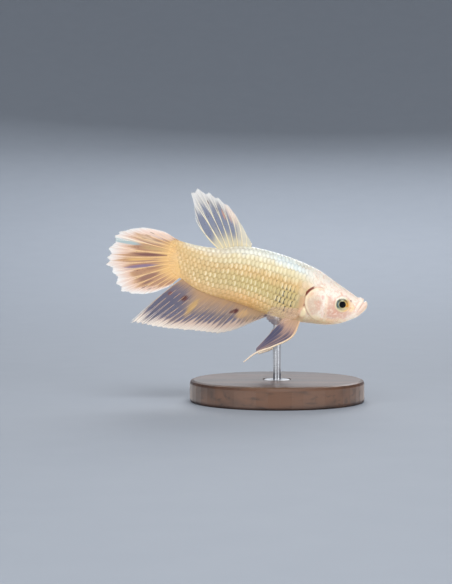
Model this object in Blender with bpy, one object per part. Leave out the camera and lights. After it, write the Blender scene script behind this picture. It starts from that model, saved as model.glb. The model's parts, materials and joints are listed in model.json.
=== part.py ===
"""A life-size betta fish on a plain display stand, as separate solids.

The fish is drawn level, in a frame of its own: +X runs from the tail base to the snout, +Z is up, and the
origin is the middle of the tail base. An empty then tips it nose down and lifts it over the stand.
Lengths are in millimetres until MM turns them into Blender's metres.
"""

import math

import bmesh
import bpy
import numpy as np
from mathutils import Matrix, Vector

MM = 0.001
GAP = 0.3  # clear space between neighbouring solids

# Pose: the fish hangs nose down, with its tail base behind the middle of the stand's frame.
PITCH_DEG = 13.0
TAIL_BASE_AT = (-13.5, 0.0, 32.4)

# Stand: a turned disc with a recess that takes the rod's flat foot. Both are turned about ROD_X.
ROD_X = 9.2
ROD_RADIUS = 0.9
ROD_DEPTH_IN_BODY = 4.0
ROD_FOOT_RADIUS = 3.0
ROD_FOOT_HEIGHT = 1.0
ROD_BEVEL = 0.2
DISC_RADIUS = 20.0
DISC_HEIGHT = 5.0
DISC_BEVEL = 0.8
ROD_SIDES = 18
DISC_SIDES = 48
MERGE_DISTANCE = 0.01

# Body, tail base to snout tip: length along the axis, height of the back, height of the belly, half width.
BODY_STATIONS = [
    (-1.8, 2.4, -1.9, 0.30),
    (-0.6, 4.1, -3.4, 0.75),
    (1.5, 4.40, -4.1, 1.15),
    (5.0, 4.45, -5.7, 1.75),
    (9.0, 5.00, -6.4, 2.35),
    (13.0, 6.45, -6.65, 2.95),
    (17.0, 6.90, -6.95, 3.45),
    (21.0, 6.85, -7.55, 3.80),
    (25.0, 6.50, -8.0, 4.00),
    (29.0, 5.85, -7.9, 4.10),
    (32.5, 4.85, -7.45, 4.10),
    (35.5, 3.60, -7.1, 3.80),
    (38.0, 2.58, -6.5, 3.25),
    (40.2, 1.72, -5.5, 2.60),
    (42.0, 1.18, -4.15, 1.95),
    (43.4, 0.82, -2.75, 1.35),
    (44.3, 0.35, -1.55, 0.78),
    (44.62, -0.35, -0.45, 0.02),
]
TAIL_END_X = BODY_STATIONS[0][0]
SNOUT_TIP_X = BODY_STATIONS[-1][0]
WIDEST_SHARE = 0.47  # height of the greatest width, as a share from belly to back
BACK_KEEL = [(-2.0, 1.25), (9.0, 1.1), (24.0, 1.0), (34.0, 0.85), (42.0, 0.75)]
BELLY_KEEL = [(-2.0, 1.25), (9.0, 1.15), (24.0, 0.9), (34.0, 0.85), (42.0, 0.8)]
RING_POINTS = 32
RING_SPACING = 1.5
HEAD_RING_SPACING = 1.2
SNOUT_LENGTH = 8.0  # over this length the rings crowd together towards the tip of the snout

# Where the body is parted, along its axis.
TAIL_CUT_X = 6.0
GILL_CUT_X = 30.0

# Mouth: the cut between the jaws runs down and back from the notch between the lips.
MOUTH_NOTCH = (43.7, 0.3)
MOUTH_SLOPE_DEG = 64.0
JAW_START_X = 37.0

# Gill cover: a round plate let into the cheek on each side.
GILL_CENTRE = (33.55, -3.0)
GILL_RADIUS = 3.3
GILL_INNER_Y = 2.3
GILL_STOP_X = 38.5

# Eye: a flattened ball, let into a socket.
EYE_CENTRE = (38.95, 2.22, -1.42)
EYE_RADIUS = 1.72
EYE_FLATNESS = 0.72

# Fins. Each is a sheet through three lines, at the roots, middles and tips of its rays, given as (x, z) from
# the first ray to the last. It starts inside the body, which is then cut away from it.
FIN_ROOT_THICK = 1.0
FIN_TIP_THICK = 0.5
THIN_FROM = 0.6
DORSAL = {
    "root": [(15.5, 6.2), (12.0, 5.2), (9.2, 4.2)],
    "middle": [(15.5, 7.3), (13.6, 8.9), (11.4, 10.3), (9.2, 11.0), (7.0, 11.1), (5.1, 10.4), (4.1, 7.7)],
    "tip": [(15.0, 7.9), (12.0, 11.4), (9.0, 14.4), (5.8, 15.9), (2.6, 16.8), (-0.6, 16.5), (1.2, 11.9)],
    "rays": 9,
    "notch": 0.045,
    "sway": 0.5,
}
ANAL = {
    "root": [(22.9, -7.2), (18.2, -6.4), (13.6, -5.9), (8.9, -5.6), (2.6, -3.4)],
    "middle": [(22.8, -7.9), (16.6, -10.2), (10.1, -11.1), (4.1, -11.6), (-2.2, -9.2)],
    "tip": [(22.3, -8.4), (14.2, -14.0), (6.9, -15.2), (-0.2, -16.0), (-7.2, -16.6)],
    "rays": 24,
    "notch": 0.02,
    "sway": 0.9,
}
CAUDAL = {
    "root": [(1.0, 3.6), (-0.4, 1.9), (-0.9, 0.1), (-0.4, -1.7), (1.2, -3.3)],
    "middle": [(-7.6, 5.6), (-8.8, 1.8), (-8.4, -2.2), (-7.0, -6.2), (-4.3, -8.6)],
    "tip": [(-14.8, 2.9), (-16.1, -0.8), (-15.8, -4.2), (-13.6, -7.4), (-10.1, -9.8)],
    "rays": 13,
    "notch": 0.035,
    "sway": 0.8,
}
PECTORAL = {
    "root": [(29.5, -4.5), (29.8, -5.4), (29.6, -6.2)],
    "middle": [(26.3, -4.9), (26.0, -6.6), (27.0, -8.0)],
    "tip": [(23.0, -5.5), (22.2, -8.0), (24.5, -9.5)],
    "rays": 9,
    "notch": 0.03,
}
PECTORAL_ROOT_Y = 3.3
PECTORAL_SPLAY = 2.6  # how far the tips stand out past the roots
PECTORAL_TWIST = 0.5
FIN_STEPS = 4  # how many steps a fin takes from root to tip
# A pelvic fin is a blade behind a stiff leading edge that runs on as a filament.
PELVIC_LEADING = [(30.2, -7.2), (29.3, -11.2), (25.6, -14.3), (22.2, -16.5), (19.8, -19.2)]
PELVIC_TRAILING = [(26.7, -7.2), (24.6, -11.1), (21.9, -15.6)]
PELVIC_BLADE_SHARE = 0.76  # share of the leading edge that carries the blade
PELVIC_FILAMENT = 0.55
PELVIC_ROOT_Y = 1.3
PELVIC_SPLAY = 2.4
PELVIC_STEPS = (16, 3)  # along the leading edge, and across the blade

FLESH = ("flesh", (0.80, 0.66, 0.46, 1.0), 0.45)
CHEEK = ("cheek", (0.86, 0.66, 0.56, 1.0), 0.4)
FIN = ("fin", (0.82, 0.70, 0.62, 1.0), 0.5)
EYE = ("eye", (0.05, 0.05, 0.06, 1.0), 0.1)
WOOD = ("stained wood", (0.09, 0.06, 0.045, 1.0), 0.45)
STEEL = ("steel", (0.6, 0.6, 0.62, 1.0), 0.3)
METALS = {"steel"}
SHARP_FROM_DEG = 40.0


def smooth_line(points, share):
    """The point a share (0 to 1) of the way along a Catmull-Rom curve through evenly numbered points."""
    points = [np.array(p, float) for p in points]
    points = [2 * points[0] - points[1], *points, 2 * points[-1] - points[-2]]
    place = min(max(share, 0.0), 1.0) * (len(points) - 3)
    i = min(int(place), len(points) - 4)
    t = place - i
    a, b, c, d = points[i : i + 4]
    bend = (2 * a - 5 * b + 4 * c - d) * t * t + (3 * b - 3 * c + d - a) * t**3
    return 0.5 * (2 * b + (c - a) * t + bend)


def station_at(x):
    """(back height, belly height, half width) of the body at x, found by halving on the line of stations."""
    low, high = 0.0, 1.0
    while high - low > 1e-9:
        middle = (low + high) / 2
        if smooth_line(BODY_STATIONS, middle)[0] < x:
            low = middle
        else:
            high = middle
    return smooth_line(BODY_STATIONS, low)[1:]


def keel(table, x):
    """The sharpness of an edge of the body at x: 1 is a plain half ellipse, more is keeled, less is boxy."""
    return np.interp(x, [place for place, _ in table], [sharpness for _, sharpness in table])


def body_ring(x, grow=0.0):
    """The closed outline of the body at x, from the back round the +Y side, and back up the other side."""
    back, belly, half = station_at(x)
    back, belly, half = back + grow, belly - grow, half + grow
    widest = belly + (back - belly) * WIDEST_SHARE
    ring = []
    for k in range(RING_POINTS):
        angle = 2 * math.pi * k / RING_POINTS
        up = math.cos(angle)
        reach = back - widest if up > 0 else widest - belly
        power = keel(BACK_KEEL if up > 0 else BELLY_KEEL, x)
        y = half * math.copysign(abs(math.sin(angle)) ** power, math.sin(angle))
        ring.append(Vector((x, y, widest + reach * up)) * MM)
    return ring


def new_object(name, mesh, finish=FLESH, parent=None):
    """A named object holding the mesh, with a Principled material of its own."""
    obj = bpy.data.objects.new(name, mesh)
    bpy.context.scene.collection.objects.link(obj)
    obj.parent = parent
    title, colour, roughness = finish
    material = bpy.data.materials.new(f"{name} {title}")
    material.use_nodes = True
    shader = material.node_tree.nodes["Principled BSDF"]
    shader.inputs["Base Color"].default_value = colour
    shader.inputs["Roughness"].default_value = roughness
    shader.inputs["Metallic"].default_value = 1.0 if title in METALS else 0.0
    mesh.materials.append(material)
    return obj


def mesh_of(build):
    """A mesh made by a function that fills a bmesh, with its faces turned outwards."""
    bm = bmesh.new()
    build(bm)
    bmesh.ops.recalc_face_normals(bm, faces=bm.faces)
    mesh = bpy.data.meshes.new("shape")
    bm.to_mesh(mesh)
    bm.free()
    mesh.shade_smooth()
    mesh.set_sharp_from_angle(angle=math.radians(SHARP_FROM_DEG))
    return mesh


def loft(bm, rings):
    """Joins closed rings of points into a tube and caps both ends."""
    loops = [[bm.verts.new(p) for p in ring] for ring in rings]
    for near, far in zip(loops, loops[1:]):
        for k in range(len(near)):
            after = (k + 1) % len(near)
            bm.faces.new((near[k], near[after], far[after], far[k]))
    for end in (loops[0], loops[-1]):
        middle = bm.verts.new(sum((v.co for v in end), Vector()) / len(end))
        for k in range(len(end)):
            bm.faces.new((end[k], end[(k + 1) % len(end)], middle))


def ring_places(start, stop, spacing):
    """Places along the axis, a spacing apart, and closer together near the tip of the snout."""
    least_share = 0.12
    places, step = [start], spacing
    while places[-1] + 1.5 * step < stop:
        places.append(places[-1] + step)
        step = spacing * min(1.0, least_share + (SNOUT_TIP_X - places[-1]) / SNOUT_LENGTH)
    return [*places, stop]


def body_mesh(start, stop, spacing=RING_SPACING, grow=0.0):
    """The length of body between two places on its axis, grown outwards in height and width."""
    places = ring_places(start, stop, spacing)
    rings = [body_ring(min(max(x, TAIL_END_X), SNOUT_TIP_X), grow) for x in places]
    for ring, x in zip(rings, places):
        for point in ring:
            point.x = x * MM
    return mesh_of(lambda bm: loft(bm, rings))


def box_mesh(size, centre, tilt_deg):
    """A box of the given size, tilted about Y round the given centre."""
    place = Matrix.Translation(Vector(centre) * MM) @ Matrix.Rotation(math.radians(tilt_deg), 4, "Y")
    scale = Matrix.Diagonal((*(Vector(size) * MM), 1.0))
    return mesh_of(lambda bm: bmesh.ops.create_cube(bm, size=1.0, matrix=place @ scale))


def cross_cylinder_mesh(centre, radius, inner_y, outer_y, sides=32):
    """A cylinder across the body, from inner_y to outer_y, round a point given as (x, z)."""
    middle = Vector((centre[0], (inner_y + outer_y) / 2, centre[1])) * MM
    place = Matrix.Translation(middle) @ Matrix.Rotation(math.pi / 2, 4, "X")

    def build(bm):
        bmesh.ops.create_cone(
            bm,
            cap_ends=True,
            segments=sides,
            radius1=radius * MM,
            radius2=radius * MM,
            depth=abs(outer_y - inner_y) * MM,
            matrix=place,
        )

    return mesh_of(build)


def eye_mesh(side, grow=0.0, detail=10):
    """The flattened ball of one eye, grown all over where it cuts its socket."""
    x, y, z = EYE_CENTRE
    radius = (EYE_RADIUS + grow) * MM
    flat = (EYE_RADIUS * EYE_FLATNESS + grow) * MM
    place = Matrix.Translation(Vector((x, side * y, z)) * MM) @ Matrix.Rotation(math.pi / 2, 4, "X")
    scale = Matrix.Diagonal((radius, radius, flat, 1.0))

    def build(bm):
        bmesh.ops.create_uvsphere(
            bm, u_segments=2 * detail, v_segments=detail, radius=1.0, matrix=place @ scale
        )

    return mesh_of(build)


def cutter(name, mesh, parent=None):
    """A hidden helper that a Boolean reads."""
    obj = bpy.data.objects.new(name, mesh)
    bpy.context.scene.collection.objects.link(obj)
    obj.parent = parent
    obj.hide_render = True
    obj.display_type = "WIRE"
    return obj


def boolean(obj, operation, other):
    step = obj.modifiers.new(f"{operation.lower()} {other.name}", "BOOLEAN")
    step.operation = operation
    step.object = other
    step.solver = "EXACT"


def sheet_solid(bm, points, thickness):
    """A closed plate: points[i][j] is its middle surface, and thickness[i][j] how thick it is there."""
    points = np.array(points)
    half = np.array(thickness)[..., None] / 2
    along, across = np.gradient(points, axis=1), np.gradient(points, axis=0)
    normal = np.cross(along, across)
    normal /= np.linalg.norm(normal, axis=2, keepdims=True)
    faces = [points + normal * half, points - normal * half]
    front, rear = ([[bm.verts.new(Vector(p) * MM) for p in row] for row in face] for face in faces)
    rows, columns = points.shape[:2]
    for i in range(rows - 1):
        for j in range(columns - 1):
            bm.faces.new((front[i][j], front[i + 1][j], front[i + 1][j + 1], front[i][j + 1]))
            bm.faces.new((rear[i][j], rear[i][j + 1], rear[i + 1][j + 1], rear[i + 1][j]))
    rim = [(i, 0) for i in range(rows)]
    rim += [(rows - 1, j) for j in range(1, columns)]
    rim += [(i, columns - 1) for i in range(rows - 2, -1, -1)]
    rim += [(0, j) for j in range(columns - 2, 0, -1)]
    for (i, j), (m, n) in zip(rim, rim[1:] + rim[:1]):
        bm.faces.new((front[i][j], rear[i][j], rear[m][n], front[m][n]))


def fin_point(fin, across, along):
    """A point (x, z) of a fin: across goes from its first ray to its last, along from root to tip."""
    root, middle, tip = (smooth_line(fin[line], across) for line in ("root", "middle", "tip"))
    ahead, left = along, 1 - along
    return root * left * (left - ahead) + middle * 4 * ahead * left + tip * ahead * (ahead - left)


def fin_thickness(along):
    """A fin thins from its root and has its edge's thickness from THIN_FROM on."""
    return FIN_ROOT_THICK + (FIN_TIP_THICK - FIN_ROOT_THICK) * min(1.0, along / THIN_FROM)


def fin_mesh(fin, side_at):
    """A fin's plate, drawn in at its edge between each two rays. side_at(across, along) is its Y."""
    spans = 2 * (fin["rays"] - 1)
    points, thickness = [], []
    for i in range(spans + 1):
        across = i / spans
        reach = 1.0 - (fin["notch"] if i % 2 else 0.0)
        places = [reach * j / FIN_STEPS for j in range(FIN_STEPS + 1)]
        flat = [fin_point(fin, across, along) for along in places]
        points.append([(x, side_at(across, along), z) for (x, z), along in zip(flat, places)])
        thickness.append([fin_thickness(along) for along in places])
    return mesh_of(lambda bm: sheet_solid(bm, points, thickness))


def median_fin(name, fin, pose, grown_body):
    """A fin on the body's middle plane, whose edge sways gently to one side and back."""

    def sway(across, along):
        return fin["sway"] * along**2 * math.sin(math.pi * (1.5 * across + 0.2))

    obj = new_object(name, fin_mesh(fin, sway), FIN, pose)
    boolean(obj, "DIFFERENCE", grown_body)


def pectoral_fin(name, side, pose, grown_body):
    """A small fan that stands out from the flank behind the gill cover."""

    def splay(across, along):
        return side * (PECTORAL_ROOT_Y + PECTORAL_SPLAY * along**0.8 + PECTORAL_TWIST * along * across)

    obj = new_object(name, fin_mesh(PECTORAL, splay), FIN, pose)
    boolean(obj, "DIFFERENCE", grown_body)


def pelvic_fin(name, side, pose, grown_body):
    """A blade between its leading and trailing edges. Past the blade only the filament goes on."""
    steps, strips = PELVIC_STEPS
    points, thickness = [], []
    for j in range(steps + 1):
        share = j / steps
        lead = smooth_line(PELVIC_LEADING, share)
        trail = smooth_line(PELVIC_TRAILING, share / PELVIC_BLADE_SHARE)
        if share > PELVIC_BLADE_SHARE or np.linalg.norm(trail - lead) < PELVIC_FILAMENT:
            ahead = smooth_line(PELVIC_LEADING, share + 0.02) - smooth_line(PELVIC_LEADING, share - 0.02)
            trail = lead + np.array((ahead[1], -ahead[0])) / np.linalg.norm(ahead) * PELVIC_FILAMENT
        y = side * (PELVIC_ROOT_Y + PELVIC_SPLAY * share)
        blade = [lead + (trail - lead) * k / strips for k in range(strips + 1)]
        points.append([(x, y, z) for x, z in blade])
        thickness.append([fin_thickness(share)] * (strips + 1))
    obj = new_object(name, mesh_of(lambda bm: sheet_solid(bm, points, thickness)), FIN, pose)
    boolean(obj, "DIFFERENCE", grown_body)


def turned(name, profile, finish, sides):
    """A turned piece: a profile of (radius, height), from the top of the axis down, spun about ROD_X."""
    mesh = bpy.data.meshes.new(name)
    points = [(r * MM, 0.0, h * MM) for r, h in profile]
    mesh.from_pydata(points, [(i, i + 1) for i in range(len(points) - 1)], [])
    obj = new_object(name, mesh, finish)
    obj.location = (ROD_X * MM, 0.0, 0.0)
    screw = obj.modifiers.new("turn", "SCREW")
    screw.steps = screw.render_steps = sides
    screw.use_merge_vertices = True
    screw.merge_threshold = MERGE_DISTANCE * MM
    return obj


def mouth_spaces(pose):
    """Two cutters, on either side of the cut between the jaws: the upper jaw's space and the lower one's."""
    tilt = 90.0 - MOUTH_SLOPE_DEG
    ahead = Vector((math.cos(math.radians(tilt)), 0.0, -math.sin(math.radians(tilt))))
    notch = Vector((MOUTH_NOTCH[0], 0.0, MOUTH_NOTCH[1]))
    half_length = 10.0
    block = (2 * half_length, 20.0, 40.0)
    upper = box_mesh(block, notch - ahead * (half_length + GAP), tilt)
    lower = box_mesh(block, notch + ahead * half_length, tilt)
    return cutter("upper jaw space", upper, pose), cutter("lower jaw space", lower, pose)


def head_pieces(pose):
    """The head, its lower jaw, the two gill covers and the two eyes."""
    start = GILL_CUT_X + GAP / 2
    upper_space, lower_space = mouth_spaces(pose)
    head = new_object("head", body_mesh(start, SNOUT_TIP_X, HEAD_RING_SPACING), CHEEK, pose)
    jaw = new_object("lower_jaw", body_mesh(JAW_START_X, SNOUT_TIP_X, HEAD_RING_SPACING), CHEEK, pose)
    boolean(head, "INTERSECT", upper_space)
    boolean(jaw, "INTERSECT", lower_space)
    outside = 2 * GILL_INNER_Y + GILL_RADIUS
    for word, side in (("right", -1), ("left", 1)):
        inner, outer = GILL_INNER_Y * side, outside * side
        recess = cross_cylinder_mesh(GILL_CENTRE, GILL_RADIUS + GAP, inner - GAP * side, outer)
        boolean(head, "DIFFERENCE", cutter(f"gill recess {word}", recess, pose))
        plate = cross_cylinder_mesh(GILL_CENTRE, GILL_RADIUS, inner, outer)
        cheek = body_mesh(start, GILL_STOP_X, HEAD_RING_SPACING)
        cover = new_object(f"gill_cover_{word}", cheek, CHEEK, pose)
        boolean(cover, "INTERSECT", cutter(f"gill plate {word}", plate, pose))
        boolean(head, "DIFFERENCE", cutter(f"eye socket {word}", eye_mesh(side, GAP), pose))
        new_object(f"eye_{word}", eye_mesh(side), EYE, pose)


def belly_height_over_rod():
    """Height above the floor of the belly where the rod meets it, found by closing in on its place."""
    pitch = math.radians(PITCH_DEG)
    x = ROD_X - TAIL_BASE_AT[0]
    for _ in range(8):
        belly = station_at(x)[1]
        x = (ROD_X - TAIL_BASE_AT[0] - belly * math.sin(pitch)) / math.cos(pitch)
    return TAIL_BASE_AT[2] - x * math.sin(pitch) + belly * math.cos(pitch)


def trunk_pieces(pose):
    """The trunk, with a hole for the rod, and the tail base."""
    trunk = new_object("trunk", body_mesh(TAIL_CUT_X + GAP / 2, GILL_CUT_X - GAP / 2), FLESH, pose)
    hole_top = belly_height_over_rod() + ROD_DEPTH_IN_BODY + GAP
    hole_radius = ROD_RADIUS + GAP
    sides = [(0.0, hole_top), (hole_radius, hole_top), (hole_radius, DISC_HEIGHT), (0.0, DISC_HEIGHT)]
    hole = turned("rod hole", sides, STEEL, ROD_SIDES)
    hole.hide_render = True
    hole.display_type = "WIRE"
    boolean(trunk, "DIFFERENCE", hole)
    new_object("tail_base", body_mesh(TAIL_END_X, TAIL_CUT_X - GAP / 2), FLESH, pose)


def rounded_corner(radius, height, bevel, steps=2):
    """An outer corner of a turned profile, rounded from the flat above it to the side below."""
    turns = [math.radians(90 * k / steps) for k in range(steps + 1)]
    return [(radius - bevel * (1 - math.sin(t)), height - bevel * (1 - math.cos(t))) for t in turns]


def stand_pieces():
    """The disc, with its recess, and the rod, whose flat foot sits in the recess."""
    recess_floor, recess = DISC_HEIGHT - ROD_FOOT_HEIGHT - GAP, ROD_FOOT_RADIUS + GAP
    disc = [(0.0, recess_floor), (recess, recess_floor), (recess, DISC_HEIGHT)]
    disc += rounded_corner(DISC_RADIUS, DISC_HEIGHT, DISC_BEVEL)
    disc += [(DISC_RADIUS, DISC_BEVEL / 2), (DISC_RADIUS - DISC_BEVEL / 2, 0.0), (0.0, 0.0)]
    turned("stand_base", disc, WOOD, DISC_SIDES)
    rod_top = belly_height_over_rod() + ROD_DEPTH_IN_BODY
    foot_bottom = DISC_HEIGHT - ROD_FOOT_HEIGHT
    rod = [(0.0, rod_top), *rounded_corner(ROD_RADIUS, rod_top, ROD_BEVEL), (ROD_RADIUS, DISC_HEIGHT)]
    rod += rounded_corner(ROD_FOOT_RADIUS, DISC_HEIGHT, ROD_BEVEL)
    rod += [(ROD_FOOT_RADIUS, foot_bottom), (0.0, foot_bottom)]
    turned("stand_rod", rod, STEEL, ROD_SIDES)


def main():
    for obj in list(bpy.data.objects):
        bpy.data.objects.remove(obj)
    pose = bpy.data.objects.new("fish pose", None)
    bpy.context.scene.collection.objects.link(pose)
    pose.location = Vector(TAIL_BASE_AT) * MM
    pose.rotation_euler = (0.0, math.radians(PITCH_DEG), 0.0)

    trunk_pieces(pose)
    head_pieces(pose)
    grown_body = cutter("body and clearance", body_mesh(TAIL_END_X - GAP, SNOUT_TIP_X, grow=GAP), pose)
    for name, fin in (("dorsal_fin", DORSAL), ("anal_fin", ANAL), ("caudal_fin", CAUDAL)):
        median_fin(name, fin, pose, grown_body)
    for word, side in (("right", -1), ("left", 1)):
        pelvic_fin(f"pelvic_fin_{word}", side, pose, grown_body)
        pectoral_fin(f"pectoral_fin_{word}", side, pose, grown_body)
    stand_pieces()


main()
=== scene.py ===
# %% [markdown]
# # A betta fish, life size, on its display stand
# A museum model of a short-finned betta: pale gold scales, a pinkish white head and thin rayed fins.
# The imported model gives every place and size. This lesson lays the looks over it, piece by piece:
# one skin, a coat of scales, eyes, fins and the stand. Lengths inside the lesson are in millimetres.

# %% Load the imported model
import json
import math
import bpy
import numpy as np
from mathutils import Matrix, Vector

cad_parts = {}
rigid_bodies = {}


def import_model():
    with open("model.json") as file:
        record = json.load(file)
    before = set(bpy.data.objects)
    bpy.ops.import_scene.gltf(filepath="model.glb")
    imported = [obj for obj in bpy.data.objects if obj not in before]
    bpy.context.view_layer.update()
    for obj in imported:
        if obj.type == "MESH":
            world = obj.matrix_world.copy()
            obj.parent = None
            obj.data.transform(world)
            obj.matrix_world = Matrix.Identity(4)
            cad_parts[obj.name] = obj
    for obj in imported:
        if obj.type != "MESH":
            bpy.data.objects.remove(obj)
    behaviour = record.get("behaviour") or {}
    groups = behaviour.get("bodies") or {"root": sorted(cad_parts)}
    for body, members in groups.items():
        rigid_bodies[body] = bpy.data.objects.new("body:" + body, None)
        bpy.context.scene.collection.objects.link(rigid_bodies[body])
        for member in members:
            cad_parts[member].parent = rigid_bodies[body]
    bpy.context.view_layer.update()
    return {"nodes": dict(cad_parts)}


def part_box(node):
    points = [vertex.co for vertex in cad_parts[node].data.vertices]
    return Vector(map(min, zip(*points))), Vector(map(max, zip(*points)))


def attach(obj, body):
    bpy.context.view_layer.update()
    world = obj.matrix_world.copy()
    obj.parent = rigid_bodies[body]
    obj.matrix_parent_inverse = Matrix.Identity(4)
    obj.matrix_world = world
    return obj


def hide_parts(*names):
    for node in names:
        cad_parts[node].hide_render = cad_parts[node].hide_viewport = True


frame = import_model()

# %% [markdown]
# ## The fish's own frame
# A fish is easiest to draw level: x runs along it from the tail base to the snout, z is up, and y is
# its left. The model swims 13 degrees nose down, so one function turns level places into the
# model's. Its anchor is the right eye, whose place both frames know.

# %% From the level fish to the model
MM = 0.001
PITCH = math.radians(13.0)
SIDES = {"right": -1, "left": 1}
EYE_CENTRE = np.array((38.95, 2.22, -1.42))


def tilted(points):
    """Level directions or places, turned nose down."""
    x, y, z = np.moveaxis(np.asarray(points, float), -1, 0)
    ahead = x * math.cos(PITCH) + z * math.sin(PITCH)
    up = z * math.cos(PITCH) - x * math.sin(PITCH)
    return np.stack((ahead, y, up), axis=-1)


eye_low, eye_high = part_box("eye_right")
eye_place = np.array((eye_low + eye_high) / 2) / MM
TAIL_BASE = eye_place - tilted(EYE_CENTRE * (1, -1, 1))
TAIL_BASE[1] = 0.0
print("tail base in mm:", TAIL_BASE.round(3))


def in_model(points):
    """Level places in millimetres, as places of the model in metres."""
    return (tilted(points) + TAIL_BASE) * MM


# %% [markdown]
# ## Smooth lines
# Outlines are named sizes at a few stations. A Catmull-Rom line passes through all of them with no
# corners, so a dozen numbers give a whole back or fin edge.

# %% Lines and steps
def smooth_line(points, place):
    """Points of a smooth line. Place counts stations from 0, and goes a little past either end."""
    points = np.asarray(points, float)
    ends = (2 * points[:1] - points[1:2], points, 2 * points[-1:] - points[-2:-1])
    padded = np.concatenate(ends)
    place = np.asarray(place, float)
    span = np.clip(np.floor(place).astype(int), 0, len(points) - 2)
    part = (place - span)[..., None]
    a, b, c, d = (padded[span + k] for k in range(4))
    bend = 2 * a - 5 * b + 4 * c - d + part * (3 * (b - c) + d - a)
    return b + 0.5 * part * (c - a + part * bend)


def rise(value, low, high):
    """0 below low, 1 above high, and a soft step between."""
    part = np.clip((value - low) / (high - low), 0.0, 1.0)
    return part * part * (3 - 2 * part)


def fall(value, low, high):
    """1 below low, 0 above high, and a soft step between."""
    return 1 - rise(value, low, high)


def bell(value, centre, width):
    """1 at the centre, falling softly to 0."""
    return np.exp(-(((value - centre) / width) ** 2))


# %% [markdown]
# ## Meshes from grids
# Skin, eyes and fins are all grids of points bent into shape. Two helpers turn a grid into a closed
# mesh: a tube with its ends capped, and a thin shell with a front, a back and a rim. Both can carry
# extra values for the materials, as named attributes.

# %% Grid helpers
def add_mesh(name, places, faces, values=None, chart=None, smooth=True):
    """An object from level places, faces, point values, and a UV map given by corner."""
    mesh = bpy.data.meshes.new(name)
    mesh.from_pydata(places.reshape(-1, 3).tolist(), [], faces)
    for word, data in (values or {}).items():
        data = np.asarray(data, np.float32)
        kind, field = ("FLOAT_VECTOR", "vector") if data.ndim == 2 else ("FLOAT", "value")
        mesh.attributes.new(word, kind, "POINT").data.foreach_set(field, data.ravel())
    for word, corners in (chart or {}).items():
        mesh.uv_layers.new(name=word).data.foreach_set("uv", np.asarray(corners, np.float32).ravel())
    mesh.polygons.foreach_set("use_smooth", [smooth] * len(mesh.polygons))
    mesh.update()
    piece = bpy.data.objects.new(name, mesh)
    bpy.context.scene.collection.objects.link(piece)
    return piece


def grid_quads(rows, columns):
    """Quads of a grid of points, by the points' numbers."""
    corner = np.arange(rows * columns).reshape(rows, columns)[:-1, :-1].ravel()
    return np.stack((corner, corner + columns, corner + columns + 1, corner + 1), axis=-1)


def grid_edge(rows, columns):
    """The outer points of a grid, in order round it."""
    grid = np.arange(rows * columns).reshape(rows, columns)
    return np.concatenate((grid[0, :-1], grid[:-1, -1], grid[-1, :0:-1], grid[:0:-1, 0])).tolist()


def tube_faces(rings, columns, capped=True):
    """Quads round a tube of rings, and a fan to a middle point at each end."""
    ring, column = np.meshgrid(np.arange(rings - 1), np.arange(columns), indexing="ij")
    here, beside = ring * columns + column, ring * columns + (column + 1) % columns
    faces = np.stack((here, here + columns, beside + columns, beside), axis=-1).reshape(-1, 4).tolist()
    first, foot = rings * columns, (rings - 1) * columns
    for k in range(columns if capped else 0):
        nxt = (k + 1) % columns
        faces += [[first, k, nxt], [first + 1, foot + nxt, foot + k]]
    return faces


def shell_faces(rows, columns):
    """Faces of a closed shell: a front grid, a back grid and the rim between them."""
    front, edge, count = grid_quads(rows, columns), grid_edge(rows, columns), rows * columns
    rim = [[a, b, b + count, a + count] for a, b in zip(edge, edge[1:] + edge[:1])]
    return front.tolist() + (front[:, ::-1] + count).tolist() + rim


def grid_normals(places, around=False):
    """Normals of a grid of places, along its columns crossed with its rows."""
    if around:
        beside = np.roll(places, -1, axis=1) - np.roll(places, 1, axis=1)
    else:
        beside = np.gradient(places, axis=1)
    cross = np.cross(beside, np.gradient(places, axis=0))
    return cross / np.maximum(np.linalg.norm(cross, axis=-1, keepdims=True), 1e-9)


def ring_of(sides):
    """Angles evenly round a circle."""
    return np.arange(sides) * 2 * math.pi / sides


# %% Measuring along lines
def summed(steps):
    """Running totals of the steps, from 0."""
    return np.concatenate(([0.0], np.cumsum(steps)))


def run_along(places):
    """Distance along a line of places."""
    return summed(np.linalg.norm(np.diff(places, axis=0), axis=1))


def looked_up_along(at, run, places):
    """Places, or normals, at distances along a run."""
    return np.stack([np.interp(at, run, places[:, k]) for k in range(3)], axis=-1)


# %% [markdown]
# ## Materials as sums
# A material is arithmetic on places: how far along the fish, how near a spot. A small class wraps a
# node's socket, so that plain Python sums such as 1 - mask add the Math nodes. One method adds every
# other kind of node. Colours are laid on in coats, each through a mask that says where it shows.

# %% Sockets that can be added and multiplied
def sum_of(operation, swapped=False):
    """A method that adds a Math node for one of Python's operators."""

    def method(wire, other):
        return wire.math(operation, *((other, wire) if swapped else (wire, other)))

    return method


class Wire:
    """One output socket of a node tree."""

    def __init__(self, bench, socket):
        self.bench = bench
        self.socket = socket

    def math(self, operation, *values):
        return self.bench.node("ShaderNodeMath", {"operation": operation}, dict(enumerate(values)))

    __add__ = __radd__ = sum_of("ADD")
    __mul__ = __rmul__ = sum_of("MULTIPLY")
    __sub__, __rsub__ = sum_of("SUBTRACT"), sum_of("SUBTRACT", swapped=True)
    __truediv__ = sum_of("DIVIDE")
    __mod__ = sum_of("FLOORED_MODULO")
    __pow__ = sum_of("POWER")
    most, least = sum_of("MAXIMUM"), sum_of("MINIMUM")

    def __floordiv__(self, other):
        return self.math("FLOOR", self / other)

    def __abs__(self):
        return self.math("ABSOLUTE", self)

    def rise(self, low, high):
        limits = {"Value": self, "From Min": low, "From Max": high}
        return self.bench.node("ShaderNodeMapRange", {"interpolation_type": "SMOOTHSTEP"}, limits)

    def fall(self, low, high):
        return 1 - self.rise(low, high)

    def part(self, name):
        return Wire(self.bench, found(self.socket.node.outputs, name))


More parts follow.
